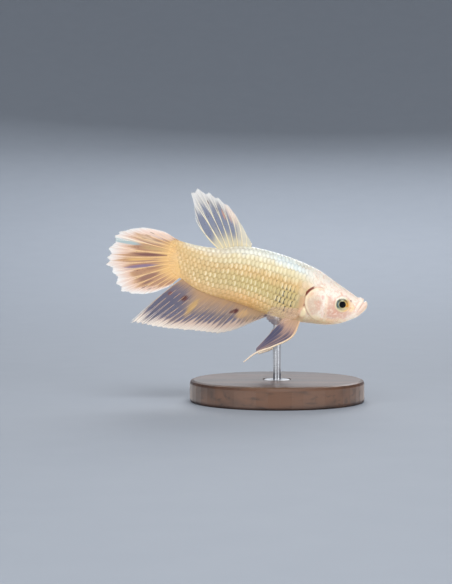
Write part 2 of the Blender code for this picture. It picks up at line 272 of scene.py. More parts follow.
def found(sockets, key):
    """A socket by number, or the one in use by name."""
    if isinstance(key, int):
        return sockets[key]
    return next(socket for socket in sockets if socket.name == key and socket.enabled)


class Bench:
    """A node tree, and the one method that adds nodes to it."""

    def __init__(self, tree):
        self.tree = tree

    def node(self, kind, settings=None, sockets=None, output=None):
        made = self.tree.nodes.new(kind)
        for name, value in (settings or {}).items():
            setattr(made, name, value)
        for key, value in (sockets or {}).items():
            target = found(made.inputs, key)
            if isinstance(value, Wire):
                self.tree.links.new(value.socket, target)
            else:
                target.default_value = value
        if output is not None:
            return Wire(self, found(made.outputs, output))
        ready = [socket for socket in made.outputs if socket.enabled]
        return Wire(self, ready[0]) if ready else None

    def vector(self, operation, *values, **more):
        sockets = {**dict(enumerate(values)), **more}
        return self.node("ShaderNodeVectorMath", {"operation": operation}, sockets)

    def parts(self, vector):
        made = self.node("ShaderNodeSeparateXYZ", {}, {"Vector": vector})
        return made.part("X"), made.part("Y"), made.part("Z")

    def join(self, x, y, z):
        return self.node("ShaderNodeCombineXYZ", {}, {"X": x, "Y": y, "Z": z})

    def mixed(self, share, first, second):
        sockets = {"Factor": share, "A": paint(first), "B": paint(second)}
        return self.node("ShaderNodeMix", {"data_type": "RGBA"}, sockets)

    def noise(self, vector, scale, detail=2.0, output="Fac", **more):
        sockets = {"Vector": vector, "Scale": scale, "Detail": detail, **more}
        return self.node("ShaderNodeTexNoise", {}, sockets, output)

    def attribute(self, name, output="Vector"):
        return self.node("ShaderNodeAttribute", {"attribute_name": name}, {}, output)

    def from_middle(self, vector, middle, size, turn=0.0):
        """Distance from the middle of an oval spot, which is 1 at its edge."""
        sockets = {"Vector": vector, "Location": (*middle, 0.0), "Rotation": (0.0, 0.0, turn)}
        sockets["Scale"] = (*size, 1000.0)
        local = self.node("ShaderNodeMapping", {"vector_type": "TEXTURE"}, sockets)
        return self.vector("LENGTH", local).part("Value")

    def bump(self, height, strength, distance):
        sockets = {"Strength": strength, "Distance": distance, "Height": height}
        return self.node("ShaderNodeBump", {}, sockets)


class Coats:
    """Colours laid one over another. A coat covers those below it as far as its mask says."""

    def __init__(self, bench, first):
        self.bench = bench
        self.colour = first

    def lay(self, mask, tint):
        self.colour = self.bench.mixed(mask, self.colour, tint)


def paint(tint):
    """A tint of three parts from 0 to 255, as the linear light that nodes use. A wire stays a wire."""
    if isinstance(tint, Wire):
        return tint
    parts = [value / 255 for value in tint]
    return (*[p / 12.92 if p <= 0.04045 else ((p + 0.055) / 1.055) ** 2.4 for p in parts], 1.0)


def new_material(name):
    """A material with an empty tree, and the bench to work on it."""
    material = bpy.data.materials.new(name)
    material.use_nodes = True
    material.node_tree.nodes.clear()
    return material, Bench(material.node_tree)


def finish_surface(bench, **sockets):
    """The one shader of a material. Names of sockets are given with _ for spaces."""
    named = {key.replace("_", " "): value for key, value in sockets.items()}
    shader = bench.node("ShaderNodeBsdfPrincipled", {}, named)
    bench.node("ShaderNodeOutputMaterial", {}, {"Surface": shader})


# %% [markdown]
# ## The studio
# The camera is a long lens level with the fish, a little above it. The floor is a wide pale dish
# that curves up all round, so there is no horizon from any side. A big soft light hangs above and in
# front, as over a tank, with weaker ones to fill in the sides.

# %% Camera
LENS = 100.0
SENSOR = 36.0
VIEW_HEIGHT = 133.7  # how much of the fish's plane the long side of the picture takes in
VIEW_CENTRE = np.array((-2.5, 0.0, 25.0))
LOOK_DOWN = math.radians(2.5)

distance = LENS / SENSOR * VIEW_HEIGHT
lens = bpy.data.cameras.new("camera")
lens.lens = LENS
lens.sensor_width = SENSOR
lens.clip_start = 0.01
lens.clip_end = 20.0
camera = bpy.data.objects.new("camera", lens)
bpy.context.scene.collection.objects.link(camera)
back_off = np.array((0.0, -math.cos(LOOK_DOWN), math.sin(LOOK_DOWN))) * distance
camera.location = (VIEW_CENTRE + back_off) * MM
camera.rotation_euler = (math.radians(90.0) - LOOK_DOWN, 0.0, 0.0)
bpy.context.scene.camera = camera
bpy.context.scene.view_settings.view_transform = "Standard"
print("camera stands", round(distance), "mm away")

# %% Floor
FLOOR_RADIUS, WALL_RADIUS = 300.0, 1500.0
FLOOR_SIDES = 96
bends = [math.radians(90 * k / 12) for k in range(13)]
reach = WALL_RADIUS - FLOOR_RADIUS
dish = [(60.0, 0.0), (FLOOR_RADIUS, 0.0)]
dish += [(FLOOR_RADIUS + reach * math.sin(b), reach * (1 - math.cos(b))) for b in bends[1:]]
angle = ring_of(FLOOR_SIDES)
rings = [(r * np.cos(angle), r * np.sin(angle), np.full(FLOOR_SIDES, h)) for r, h in dish]
places = np.array(rings).transpose(0, 2, 1) * MM
faces = tube_faces(len(dish), FLOOR_SIDES, capped=False) + [list(range(FLOOR_SIDES))]
floor = add_mesh("floor", places, faces)
floor_material, bench = new_material("pale floor")
grain = bench.noise(bench.node("ShaderNodeTexCoord", {}, {}, "Object"), 90.0, 3.0)
finish_surface(bench, Base_Color=bench.mixed(grain, (164, 172, 184), (169, 177, 188)), Roughness=0.75)
floor.data.materials.append(floor_material)

# %% Lights
def soft_light(name, place, size, power, colour):
    """A square soft light that faces the fish."""
    light = bpy.data.lights.new(name, "AREA")
    light.size = size * MM
    light.energy = power
    light.color = colour
    lamp = bpy.data.objects.new(name, light)
    lamp.location = Vector(place) * MM
    aim = Vector((0.0, 0.0, 25.0)) * MM - lamp.location
    lamp.rotation_euler = aim.to_track_quat("-Z", "Y").to_euler()
    bpy.context.scene.collection.objects.link(lamp)
    return lamp


soft_light("key", (60, -380, 600), 460.0, 2.3, (1.0, 0.99, 0.97))
soft_light("left fill", (-480, -520, 60), 420.0, 3.3, (1.0, 0.99, 0.98))
soft_light("right fill", (480, -520, 60), 420.0, 3.3, (1.0, 0.99, 0.98))
soft_light("back fill", (60, 560, 420), 420.0, 2.0, (0.97, 0.98, 1.0))
glow = soft_light("floor glow", (0, -30, 0.6), 220.0, 0.105, (1.0, 0.96, 0.90))
glow.rotation_euler = (math.pi, 0.0, 0.0)
glow.visible_camera = False
world = bpy.data.worlds.new("studio")
world.use_nodes = True
sky = world.node_tree.nodes["Background"]
sky.inputs["Color"].default_value = (0.92, 0.95, 1.0, 1.0)
sky.inputs["Strength"].default_value = 0.28
bpy.context.scene.world = world

# %% [markdown]
# ## The body's shape
# The body is a row of egg-shaped rings. Each station along it names the height of the back, the
# depth of the belly and half the width, and two keel tables say how sharp the ridges are.
# The rings stand closer together on the head, where the small forms are.

# %% Body stations
BODY_STATIONS = [  # x, back, belly, half width
    (-3.0, 3.3, -0.4, 0.03), (-2.2, 4.10, -1.9, 0.13), (-1.2, 4.35, -3.0, 0.36),
    (0.2, 4.40, -3.85, 0.78), (1.8, 4.40, -4.3, 1.20), (5, 4.45, -5.7, 1.75),
    (9, 5.00, -6.4, 2.35), (13, 6.45, -6.65, 2.95), (17, 6.90, -6.95, 3.45),
    (21, 6.85, -7.55, 3.80), (25, 6.50, -8.0, 4.00), (29, 5.85, -7.9, 4.10),
    (32.5, 4.85, -7.45, 4.10), (35.5, 3.60, -7.1, 3.80), (38, 2.58, -6.5, 3.25),
    (40.2, 1.68, -5.5, 2.62), (42, 0.96, -4.3, 2.00), (42.8, 0.90, -3.70, 1.68),
    (43.3, 0.74, -3.20, 1.44), (43.75, 0.38, -2.62, 1.20), (44.15, 0.34, -2.1, 0.96),
    (44.5, 0.18, -1.5, 0.62), (44.72, -0.3, -0.9, 0.05),
]
WIDEST_SHARE = 0.47
BACK_KEEL = np.array([(-4.0, 1.25), (9.0, 1.1), (24.0, 1.0), (34.0, 0.85), (42.0, 0.75)])
BELLY_KEEL = np.array([(-4.0, 1.25), (9.0, 1.15), (24.0, 0.9), (34.0, 0.85), (42.0, 0.8)])
COAT_DEPTH = 0.22
HEIGHT_UNITS = 10  # the markings count the body's height from 0 to this
fine_places = np.linspace(0, len(BODY_STATIONS) - 1, 2001)
fine_body = smooth_line(BODY_STATIONS, fine_places)


def body_section(place, angle):
    """Level places of the body. Place counts stations, and angle goes round from the back, left first."""
    x, back, belly, half = np.moveaxis(smooth_line(BODY_STATIONS, place), -1, 0)
    widest = belly + (back - belly) * WIDEST_SHARE
    upper = np.cos(angle) >= 0
    reach = np.where(upper, back - widest, widest - belly)
    keel = np.where(upper, np.interp(x, *BACK_KEEL.T), np.interp(x, *BELLY_KEEL.T))
    z = widest + reach * np.cos(angle)
    y = half * np.sign(np.sin(angle)) * np.abs(np.sin(angle)) ** keel
    return np.stack((np.broadcast_to(x, z.shape), y, z), axis=-1)


def height_share(x, z):
    """How high a place is on the body: 0 on the belly's line, 1 on the back's."""
    back = np.interp(x, fine_body[:, 0], fine_body[:, 1])
    belly = np.interp(x, fine_body[:, 0], fine_body[:, 2])
    return (z - belly) / np.maximum(back - belly, 0.05)


def place_at(x):
    """The place in stations of a distance along the fish."""
    return np.interp(x, fine_body[:, 0], fine_places)


def marking_place(level):
    """The place that every marking is drawn by: x, the height in its own units, and y."""
    x, y, z = np.moveaxis(level, -1, 0)
    return np.stack((x, HEIGHT_UNITS * height_share(x, z), y), axis=-1)


# %% Rings of the skin
COLUMNS = 288
FINE_ANGLES = 1441


def ring_places():
    """Places of the rings, spread by how fine the skin has to be."""
    step = np.linalg.norm(np.diff(fine_body[:, :3], axis=0), axis=1)
    middle_x = (fine_body[1:, 0] + fine_body[:-1, 0]) / 2
    fineness = 3.0 + 5.0 * rise(middle_x, 26.0, 32.0) + 7.0 * rise(middle_x, 39.0, 43.0)
    total = summed(step * fineness)
    return np.interp(np.linspace(0, total[-1], int(total[-1])), total, fine_places)


def even_rings(places, columns):
    """Rings of the body with their points evenly spaced, from the back round by the left side."""
    angle = np.linspace(0, 2 * math.pi, FINE_ANGLES)
    rings = []
    for place in places:
        ring = body_section(np.full_like(angle, place), angle)
        run = run_along(ring)
        rings.append(looked_up_along(np.linspace(0, run[-1], columns, endpoint=False), run, ring))
    return np.array(rings)


skin_rings = even_rings(ring_places()[2:-2], COLUMNS)
print("skin grid:", skin_rings.shape[:2])

# %% [markdown]
# ## The forms of the head
# A fish's head is bone plates under thin skin. The gill cover is a rounded plate whose back edge
# stands off the body over a dark slit, with the cheek plate's groove in front of it. The lips are two
# rolls on either side of the mouth, which opens upwards. The nostril is a pit before the eye, the eye
# sits in a rimmed socket, and the side fin grows from a fleshy lobe. Each form is a small push in or out.

# %% Sizes of the head's forms
GILL_MIDDLE = (33.9, -2.6)
GILL_REACH = 3.72
GILL_EDGE_STEP = 0.21
CHEEK_GROOVE = [(33.6, 1.2), (34.15, -0.8), (34.75, -2.6), (35.1, -4.4), (35.0, -6.2)]
MOUTH_LINE = [(43.72, 0.34), (43.46, -0.23), (43.2, -0.74), (42.86, -1.55), (42.6, -2.2)]
FOLD_LINE = [(42.3, -0.1), (42.06, -0.81), (41.84, -1.78), (41.81, -2.5)]
NOSTRIL = (40.75, -0.30)
LOBE = (30.2, -5.35)
SOCKET_RADIUS = 1.52
EYE_SET = EYE_CENTRE - (0.18, 0.0, 0.02)


def distance_to_line(x, z, line):
    """Distance to a bent line, and how far along it the nearest place is, as a share."""
    line = np.array(line, float)
    best = np.full(x.shape, 1e9)
    share = np.zeros(x.shape)
    for k, (start, end) in enumerate(zip(line[:-1], line[1:])):
        along = end - start
        part = ((x - start[0]) * along[0] + (z - start[1]) * along[1]) / (along @ along)
        part = np.clip(part, 0, 1)
        gap = np.hypot(x - start[0] - part * along[0], z - start[1] - part * along[1])
        closer = gap < best
        best = np.where(closer, gap, best)
        share = np.where(closer, (k + part) / (len(line) - 1), share)
    return best, share


def gill_gap(x, z):
    """Distance outside the gill cover's edge, below 0 within it."""
    dx, dz = x - GILL_MIDDLE[0], z - GILL_MIDDLE[1]
    turn = np.arctan2(dz, dx)
    reach = GILL_REACH + 0.33 * np.cos(2 * (turn - math.radians(134.5)))
    return np.hypot(dx, dz) - reach


def over_mouth(x, z):
    """How far a place is above the mouth's line."""
    return z - np.interp(x, *np.array(MOUTH_LINE)[::-1].T)


def skin_depth(x):
    """How deep the skin lies under the plain body, to leave room for the scales."""
    return (0.05 + (COAT_DEPTH - 0.05) * fall(x, 27.0, 33.0)) * rise(x, -3.0, 3.0)


def head_forms(level):
    """How far each place of the head is pushed out of the plain body, in millimetres."""
    x, y, z = np.moveaxis(level, -1, 0)
    side = rise(np.abs(y), 0.15, 0.5)
    gap = gill_gap(x, z)
    behind = fall(x, 33.2, 35.2)
    low = rise(z, -7.3, -5.6)
    plate = GILL_EDGE_STEP * fall(gap, -0.10, 0.06) * rise(gap, -4.2, -0.9)
    slit = -0.34 * bell(gap, 0.16, 0.20) * rise(z, -2.4, -0.8) * fall(x, 31.2, 32.4)
    push = (plate + slit) * behind * side * (0.35 + 0.65 * low)
    groove = distance_to_line(x, z, CHEEK_GROOVE)[0]
    push += (-0.05 * bell(groove, 0.0, 0.20) + 0.05 * bell(groove, 0.45, 0.28)) * side
    mouth, share = distance_to_line(x, z, MOUTH_LINE)
    above = rise(over_mouth(x, z), -0.05, 0.05)
    front = fall(share, 0.0, 0.30)
    opening = (0.07 + 0.12 * front) * bell(mouth, 0.0, 0.11 + 0.06 * front)
    lips = (0.10 + 0.12 * above) * bell(mouth, 0.42, 0.26) * (1 - 0.45 * share)
    fold = -0.09 * bell(distance_to_line(x, z, FOLD_LINE)[0], 0.0, 0.14)
    hump = 0.16 * bell(x, 42.85, 0.35) * rise(z, -0.2, 0.6)
    push += lips + fold + hump - opening
    pit = np.hypot(x - NOSTRIL[0], z - NOSTRIL[1])
    push += (-0.22 * bell(pit, 0.0, 0.13) + 0.06 * bell(pit, 0.25, 0.09)) * side
    from_eye = np.hypot(x - EYE_SET[0], z - EYE_SET[2])
    push += 0.13 * bell(from_eye, 1.62, 0.20) * side
    push -= 1.1 * fall(from_eye, 1.22, SOCKET_RADIUS) * side
    lobe = np.hypot((x - LOBE[0]) / 0.95, (z - LOBE[1]) / 1.35)
    push += 0.34 * fall(lobe, 0.55, 1.1) * side
    chin = bell(np.abs(y), 0.55, 0.22) * fall(z, -6.0, -4.6) * rise(x, 33.0, 35.0)
    return push - 0.10 * chin * fall(x, 39.5, 41.5)


def head_values(level):
    """Values that the skin's finish draws by: distances to the gill cover's edge, the mouth and the eye."""
    x, y, z = np.moveaxis(level, -1, 0)
    mouth = distance_to_line(x, z, MOUTH_LINE)[0] * np.where(over_mouth(x, z) < 0, -1, 1)
    eye = np.hypot(x - EYE_SET[0], z - EYE_SET[2])
    return np.stack((gill_gap(x, z), mouth, eye), axis=-1)


# %% Make the skin
normals = grid_normals(skin_rings, around=True)
middle = skin_rings.mean(axis=1, keepdims=True)
if ((skin_rings - middle) * normals).sum() < 0:
    normals = -normals
push = head_forms(skin_rings) - skin_depth(skin_rings[..., 0])
skin_places = skin_rings + normals * push[..., None]
ends = np.stack((skin_places[0].mean(axis=0), skin_places[-1].mean(axis=0)))
all_level = np.concatenate((skin_places.reshape(-1, 3), ends))
plain_level = np.concatenate((skin_rings.reshape(-1, 3), ends))
skin = add_mesh(
    "body_skin",
    in_model(all_level),
    tube_faces(*skin_places.shape[:2]),
    {
        "Place": marking_place(plain_level),
        "Level": plain_level,
        "Forms": head_values(plain_level),
        "Crease": distance_to_line(plain_level[:, 0], plain_level[:, 2], FOLD_LINE)[0],
    },
)
print("skin faces:", len(skin.data.polygons))

# %% [markdown]
# ## The fish's markings
# Skin and scales carry one set of markings, so one function paints both. It lays soft washes over
# each other: a cool white back that is partly painted highlight from the light above, a cream upper
# flank, a tan stripe along the side, khaki below it, orange along the anal fin, a golden tail base,
# and a pinkish white head with small blotches. A cyan painted sheen lies along the back, and the
# throat is warmed by painted light bounced up from below.

# %% Washes and spots
BACK_WHITE_AND_HIGHLIGHT = (238, 238, 224)
BACK_CYAN_SHEEN = (228, 240, 240)
UPPER_CREAM = (238, 220, 173)
FLANK_TAN = (230, 190, 125)
FLANK_KHAKI = (212, 185, 118)
BELLY_CREAM = (244, 212, 150)
ANAL_ORANGE = (242, 186, 114)
TAIL_GOLD = (232, 188, 120)
HEAD_WHITE = (250, 236, 222)
CHEEK_PINK = (216, 172, 152)
GILL_CREAM = (213, 188, 165)
BLOTCH_RED = (214, 128, 112)
DARK_RED = (124, 52, 40)
# x, z, width, height, tint and strength, then the turn in degrees of a leaning one. Washes come first.
FLESH_SPOTS = [
    (38.0, -3.8, 4.6, 2.1, CHEEK_PINK, 0.90),
    (36.2, -2.3, 1.4, 3.4, CHEEK_PINK, 0.75, 8),
    (32.3, -2.9, 2.6, 3.2, GILL_CREAM, 0.90),
    (43.7, -1.4, 1.5, 1.8, (230, 192, 164), 0.85),
    (42.9, -2.5, 0.7, 0.7, (214, 168, 132), 0.6),
    (38.6, -5.7, 3.8, 1.1, (250, 224, 190), 0.8),
    # a warm peach wash on the throat: painted light bounced up from below
    (35.8, -6.2, 2.8, 1.3, (252, 212, 172), 0.85),
    (33.4, -5.6, 1.6, 1.1, (240, 220, 176), 0.6),
    (33.4, -2.7, 1.0, 1.6, CHEEK_PINK, 0.65),
    (33.0, -6.6, 5.5, 1.3, (230, 208, 170), 0.8),
    (40.9, -1.6, 0.95, 1.8, (252, 210, 146), 0.75, 10),
    (28.6, -6.2, 3.0, 1.9, (226, 186, 152), 0.8),
    (30.3, -5.4, 1.2, 1.5, (250, 232, 192), 0.95),
    (29.7, -5.2, 0.4, 1.1, (236, 176, 160), 0.6),
    (30.6, -0.4, 1.5, 1.6, FLANK_TAN, 0.35),
    (29.6, -3.2, 0.9, 2.6, (206, 150, 110), 0.55),
    (33.3, 1.1, 1.5, 0.55, BLOTCH_RED, 0.42, -20),
    (34.05, -0.85, 0.45, 0.75, BLOTCH_RED, 0.50),
    (35.4, -0.35, 0.7, 0.30, BLOTCH_RED, 0.42),
    (37.9, 0.9, 0.45, 0.55, (240, 160, 110), 0.45),
    (36.9, -1.5, 0.35, 1.3, BLOTCH_RED, 0.45),
    (37.5, -3.7, 0.7, 0.8, BLOTCH_RED, 0.30),
    (41.7, -1.3, 0.3, 1.2, (240, 168, 120), 0.45, 25),
    (30.45, -0.55, 0.75, 0.30, DARK_RED, 0.75, 48),
    (30.05, -3.5, 0.35, 0.42, DARK_RED, 0.75),
    (28.4, -4.75, 0.42, 0.25, DARK_RED, 0.60),
    (35.15, -4.15, 0.17, 0.17, (120, 70, 60), 0.8),
    (40.68, -0.26, 0.40, 0.30, (150, 96, 80), 0.9),
    (22.95, 0.32, 0.20, 0.22, (112, 76, 44), 0.85),
    (19.76, -4.18, 0.18, 0.20, (112, 76, 44), 0.8),
    (26.3, 1.2, 0.16, 0.20, (140, 80, 56), 0.7),
]


def soft_spot(bench, place, x, z, width, height, turn=0.0, edge=0.35):
    """1 inside an oval spot at level x and z, fading to 0 at its edge. It shows on both sides."""
    depth = float(np.interp(x, fine_body[:, 0], fine_body[:, 1] - fine_body[:, 2]))
    middle = (x, HEIGHT_UNITS * float(height_share(x, z)))
    size = (width, height * HEIGHT_UNITS / depth)
    return bench.from_middle(place, middle, size, math.radians(turn)).fall(edge, 1.0)


def flesh_coats(bench, place):
    """The markings at a place, as coats of colour that more can be laid on."""
    stir = bench.vector("SUBTRACT", bench.noise(place, 0.55, 3.0, "Color"), (0.5, 0.5, 0.5))
    place = bench.vector("ADD", place, bench.vector("MULTIPLY", stir, (1.6, 1.3, 0.0)))
    x, height = bench.parts(place)[:2]
    front = x.rise(27.0, 34.0)
    rear = x.fall(0.0, 13.0)
    end = x.fall(-1.5, 3.0)
    coats = Coats(bench, BELLY_CREAM)
    coats.lay(height.rise(1.2, 3.4), FLANK_KHAKI)
    coats.lay(height.rise(4.6, 5.6), FLANK_TAN)
    coats.lay(height.rise(6.1, 7.2), UPPER_CREAM)
    # white along the top of the back: the back's own paleness together with painted highlight of the light
    # from above
    coats.lay(height.rise(7.9, 9.1), BACK_WHITE_AND_HIGHLIGHT)
    orange = height.fall(1.2, 3.0) * x.fall(18.0, 26.0)
    coats.lay(orange * 0.95, ANAL_ORANGE)
    coats.lay(x.fall(8.0, 19.0) * 0.45, (218, 188, 138))
    coats.lay(rear * height.fall(8.2, 9.9) * 0.7, TAIL_GOLD)
    coats.lay(end * 0.9, TAIL_GOLD)
    grain = bench.noise(place, 4.5, 3.0)
    coats.lay(grain.rise(0.52, 0.70) * x.fall(0.0, 7.0) * 0.45, (250, 230, 184))
    coats.lay(grain.fall(0.30, 0.44) * x.fall(0.0, 6.0) * 0.35, (198, 148, 92))
    # a soft cyan patch along the back: painted sheen
    cyan_sheen = soft_spot(bench, place, 25.5, 5.0, 9.0, 1.8, -8.0, 0.1)
    coats.lay(cyan_sheen * 0.85, BACK_CYAN_SHEEN)
    coats.lay(front, HEAD_WHITE)
    for wx, wz, width, high, tint, share, *turn in FLESH_SPOTS:
        coats.lay(soft_spot(bench, place, wx, wz, width, high, *turn) * share, tint)
    on_head = x.rise(28.5, 33.0)
    mottle = bench.noise(place, 1.9, 5.0, "Fac", Roughness=0.62, Distortion=0.6)
    coats.lay(mottle.rise(0.50, 0.66) * on_head * 0.52, (226, 174, 144))
    coats.lay(mottle.fall(0.36, 0.47) * on_head * 0.45, (252, 240, 224))
    specks = bench.noise(place, 5.0, 2.0).rise(0.69, 0.76)
    coats.lay(specks * on_head * 0.65, (166, 84, 68))
    return coats


# %% The skin's finish
skin_material, bench = new_material("living skin")
place = bench.attribute("Place")
level = bench.attribute("Level")
coats = flesh_coats(bench, place)
lx, ly, lz = bench.parts(level)
under_coat = (lx + lz * 0.45).rise(1.5, 5.0) * lx.fall(28.0, 31.0)
coats.lay(under_coat * 0.45, (160, 130, 80))
fan = (lz - 0.2) / (7.0 - lx)
streaks = bench.noise(bench.join(fan * 34.0, lx * 0.25, 2.0), 1.0, 3.0).rise(0.46, 0.62)
coats.lay(streaks * lx.fall(-1.6, 1.2) * 0.45, (196, 148, 100))
gill, mouth, from_eye = bench.parts(bench.attribute("Forms"))
stir = bench.noise(level, 2.6, 3.0) - 0.5
on_cover = lx.fall(33.4, 34.6)
# a pale cream band just inside the gill cover's raised edge: painted highlight
rim = (gill + stir * 0.2).rise(-0.75, -0.25) * gill.fall(-0.12, -0.02) * on_cover
coats.lay(rim * 0.65, (250, 232, 200))
line = abs(gill - 0.12 + stir * 0.1).fall(0.05, 0.24) * on_cover
coats.lay(line * 0.40 * lz.rise(-6.2, -4.0), (214, 152, 116))
dark = abs(gill - 0.16 + stir * 0.15).fall(0.16, 0.40) * lz.rise(-1.5, -0.8) * lx.fall(31.3, 31.9)
coats.lay(dark * 0.9, (134, 56, 44))
band = abs(lx - 34.9 + lz * 0.12 + stir * 0.9).fall(0.15, 0.60) * lz.fall(-0.6, 0.6)
coats.lay(band * 0.32, (246, 228, 196))
lips = abs(mouth).rise(0.08, 0.22) * abs(mouth).fall(0.62, 0.90) * lx.rise(41.6, 42.6)
coats.lay(lips * 0.5, (250, 230, 216))
# the mouth's opening is painted a darker pink: painted shade in the slit
slit = abs(mouth).fall(0.03, 0.16) * lx.rise(41.9, 42.4)
coats.lay(slit * 0.30, (226, 176, 156))
fold = (bench.attribute("Crease", "Fac") + stir * 0.15).fall(0.05, 0.28)
coats.lay(fold * 0.45, (236, 184, 156))
ring_front = (lx - float(EYE_SET[0])).rise(-0.2, 1.4)
eye_ring = Coats(bench, (222, 208, 172))
eye_ring.lay(lz.rise(-2.9, -0.2), (250, 248, 230))
eye_ring.lay(ring_front * 0.75, (244, 196, 120))
ring = (from_eye + stir * 0.15).fall(1.62, 1.90)
coats.lay(ring * 0.9, eye_ring.colour)
shadow = abs(from_eye - 2.0 + stir * 0.2).fall(0.05, 0.30) * 0.35
coats.lay(shadow, (214, 160, 136))
pores = bench.noise(level, 9.0, 3.0)
ripple = bench.noise(level, 2.2, 3.0)
finish_surface(
    bench, Base_Color=coats.colour, Roughness=0.42, Normal=bench.bump(pores * 0.5 + ripple, 0.25, 0.00012),
    Subsurface_Weight=0.18, Subsurface_Radius=(1.0, 0.45, 0.3), Subsurface_Scale=0.0008,
    Coat_Weight=0.35, Coat_Roughness=0.2,
)
skin.data.materials.append(skin_material)
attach(skin, "root")
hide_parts("head", "lower_jaw", "gill_cover_right", "gill_cover_left", "trunk", "tail_base")

# %% [markdown]
# ## Scales
# The scales lie in rows along the body, each row set off by half a scale from the next, and each
# scale's free rear edge covers the root of the one behind. Placing them one by one would lose that
# order, so Geometry Nodes lay a flat sheet of copies of one blank, and then wrap the sheet onto the
# body through a chart, as a tailor's pattern is laid on a figure.

# %% One scale
SCALE_STEPS = 5
SCALE_LENGTH = 1.95  # in scale pitches along the row
SCALE_WIDTH = 1.30  # in row spacings
SCALE_THICK = 0.04


def scale_blank():
    """A closed scale, its root ahead and its rounded rear edge behind. Heights are in millimetres."""
    wide = SCALE_STEPS + 1
    across, along = np.meshgrid(np.linspace(-1, 1, wide), np.linspace(0, 1, wide))
    length = along * (1 - 0.34 * np.abs(across) ** 2.3)
    x = (0.5 - length) * SCALE_LENGTH
    y = across * (0.86 + 0.14 * np.sin(math.pi * along)) * SCALE_WIDTH / 2
    z = -0.02 + 0.070 * length - 0.015 * across**2
    top = np.stack((x, y, z), axis=-1).reshape(-1, 3)
    edge, count = grid_edge(wide, wide), wide * wide
    under = top[edge] - (0.0, 0.0, SCALE_THICK)
    faces = np.roll(grid_quads(wide, wide), -1, axis=1).tolist()  # the roll picks each quad's diagonal
    for k, here in enumerate(edge):
        nxt = (k + 1) % len(edge)
        faces.append([here, edge[nxt], count + nxt, count + k])
    faces.append([count + k for k in range(len(edge))])
    local = np.stack((length, across * 0.5 + 0.5, np.zeros_like(length)), axis=-1).reshape(-1, 3)
    local = np.concatenate((local, local[edge]))
    piece = add_mesh("scale_blank", np.concatenate((top, under)), faces, {"Local": local})
    rounded = [face < SCALE_STEPS**2 for face in range(len(faces))]
    piece.data.polygons.foreach_set("use_smooth", rounded)
    return piece


blank = scale_blank()
print("faces in one scale:", len(blank.data.polygons))

# %% [markdown]
# The chart counts scales: one unit along is one scale in a row, and one unit up is one row. Rows are
# closer together at the tail than on the front flank, so the chart is stretched to fit.
# The carrier is a plain sheet on the skin that knows its own place in the chart, and goes a little
# past the ridges of back and belly, so that no scale there hangs in the air.

# %% The chart and its carriers
CHART_COLUMNS, CHART_ROWS = 50, 18
LATERAL_SHARE = 0.53
CARRIER_FRONT = 37.5
CARRIER_REAR = -2.6
PITCHES = np.array([  # x, and the gap between scales along a row
    (-4.0, 0.85), (3.0, 1.00), (6.0, 1.08), (12.0, 1.08),
    (17.0, 0.98), (22.0, 0.92), (28.0, 0.88), (35.0, 0.82),
])
ROW_GAPS = np.array([  # x, and the gap between rows
    (-4.0, 0.90), (2.0, 1.00), (7.0, 1.13), (11.0, 1.25),
    (16.0, 1.40), (21.0, 1.52), (27.0, 1.75), (37.0, 1.60),
])
chart_x = np.linspace(CARRIER_REAR, CARRIER_FRONT, 440)
chart_u = summed(np.diff(chart_x) / np.interp(chart_x[1:], *PITCHES.T))
print("scales along the body:", round(float(chart_u[-1]), 1))


def where_scales_grow(x, z, inside):
    """Above 0 where a scale grows: between the ridges, and clear of the head, the lobe and the tail fin."""
    over_head = 31.4 + 5.2 * rise(z, 1.0, 2.3) - x
    front = np.where(z > 1.5, over_head, np.minimum(gill_gap(x, z) - 1.2, 31.8 - x))
    lobe = np.hypot((x - LOBE[0]) / 1.5, (z - LOBE[1]) / 1.9) - 1.0
    return np.minimum.reduce([inside, front, lobe * 1.5, tail_gap(x, z)])


def tail_gap(x, z):
    """How far a place is ahead of the tail fin's slanting root."""
    return x - 0.1 + 0.45 * z


def scale_relief(x, z):
    """How far scales stand out: less towards the head and the tail fin."""
    return (1.0 - 0.80 * rise(x + 0.25 * z, 25.5, 33.0)) * (0.10 + 0.90 * rise(tail_gap(x, z), -0.5, 6.0))


def carrier_mesh(name, level, chart, values):
    """A grid of level places with its chart as a UV map."""
    faces = grid_quads(*level.shape[:2])
    return add_mesh(name, in_model(level), faces.tolist(), values, {"Chart": chart[faces.ravel()]})


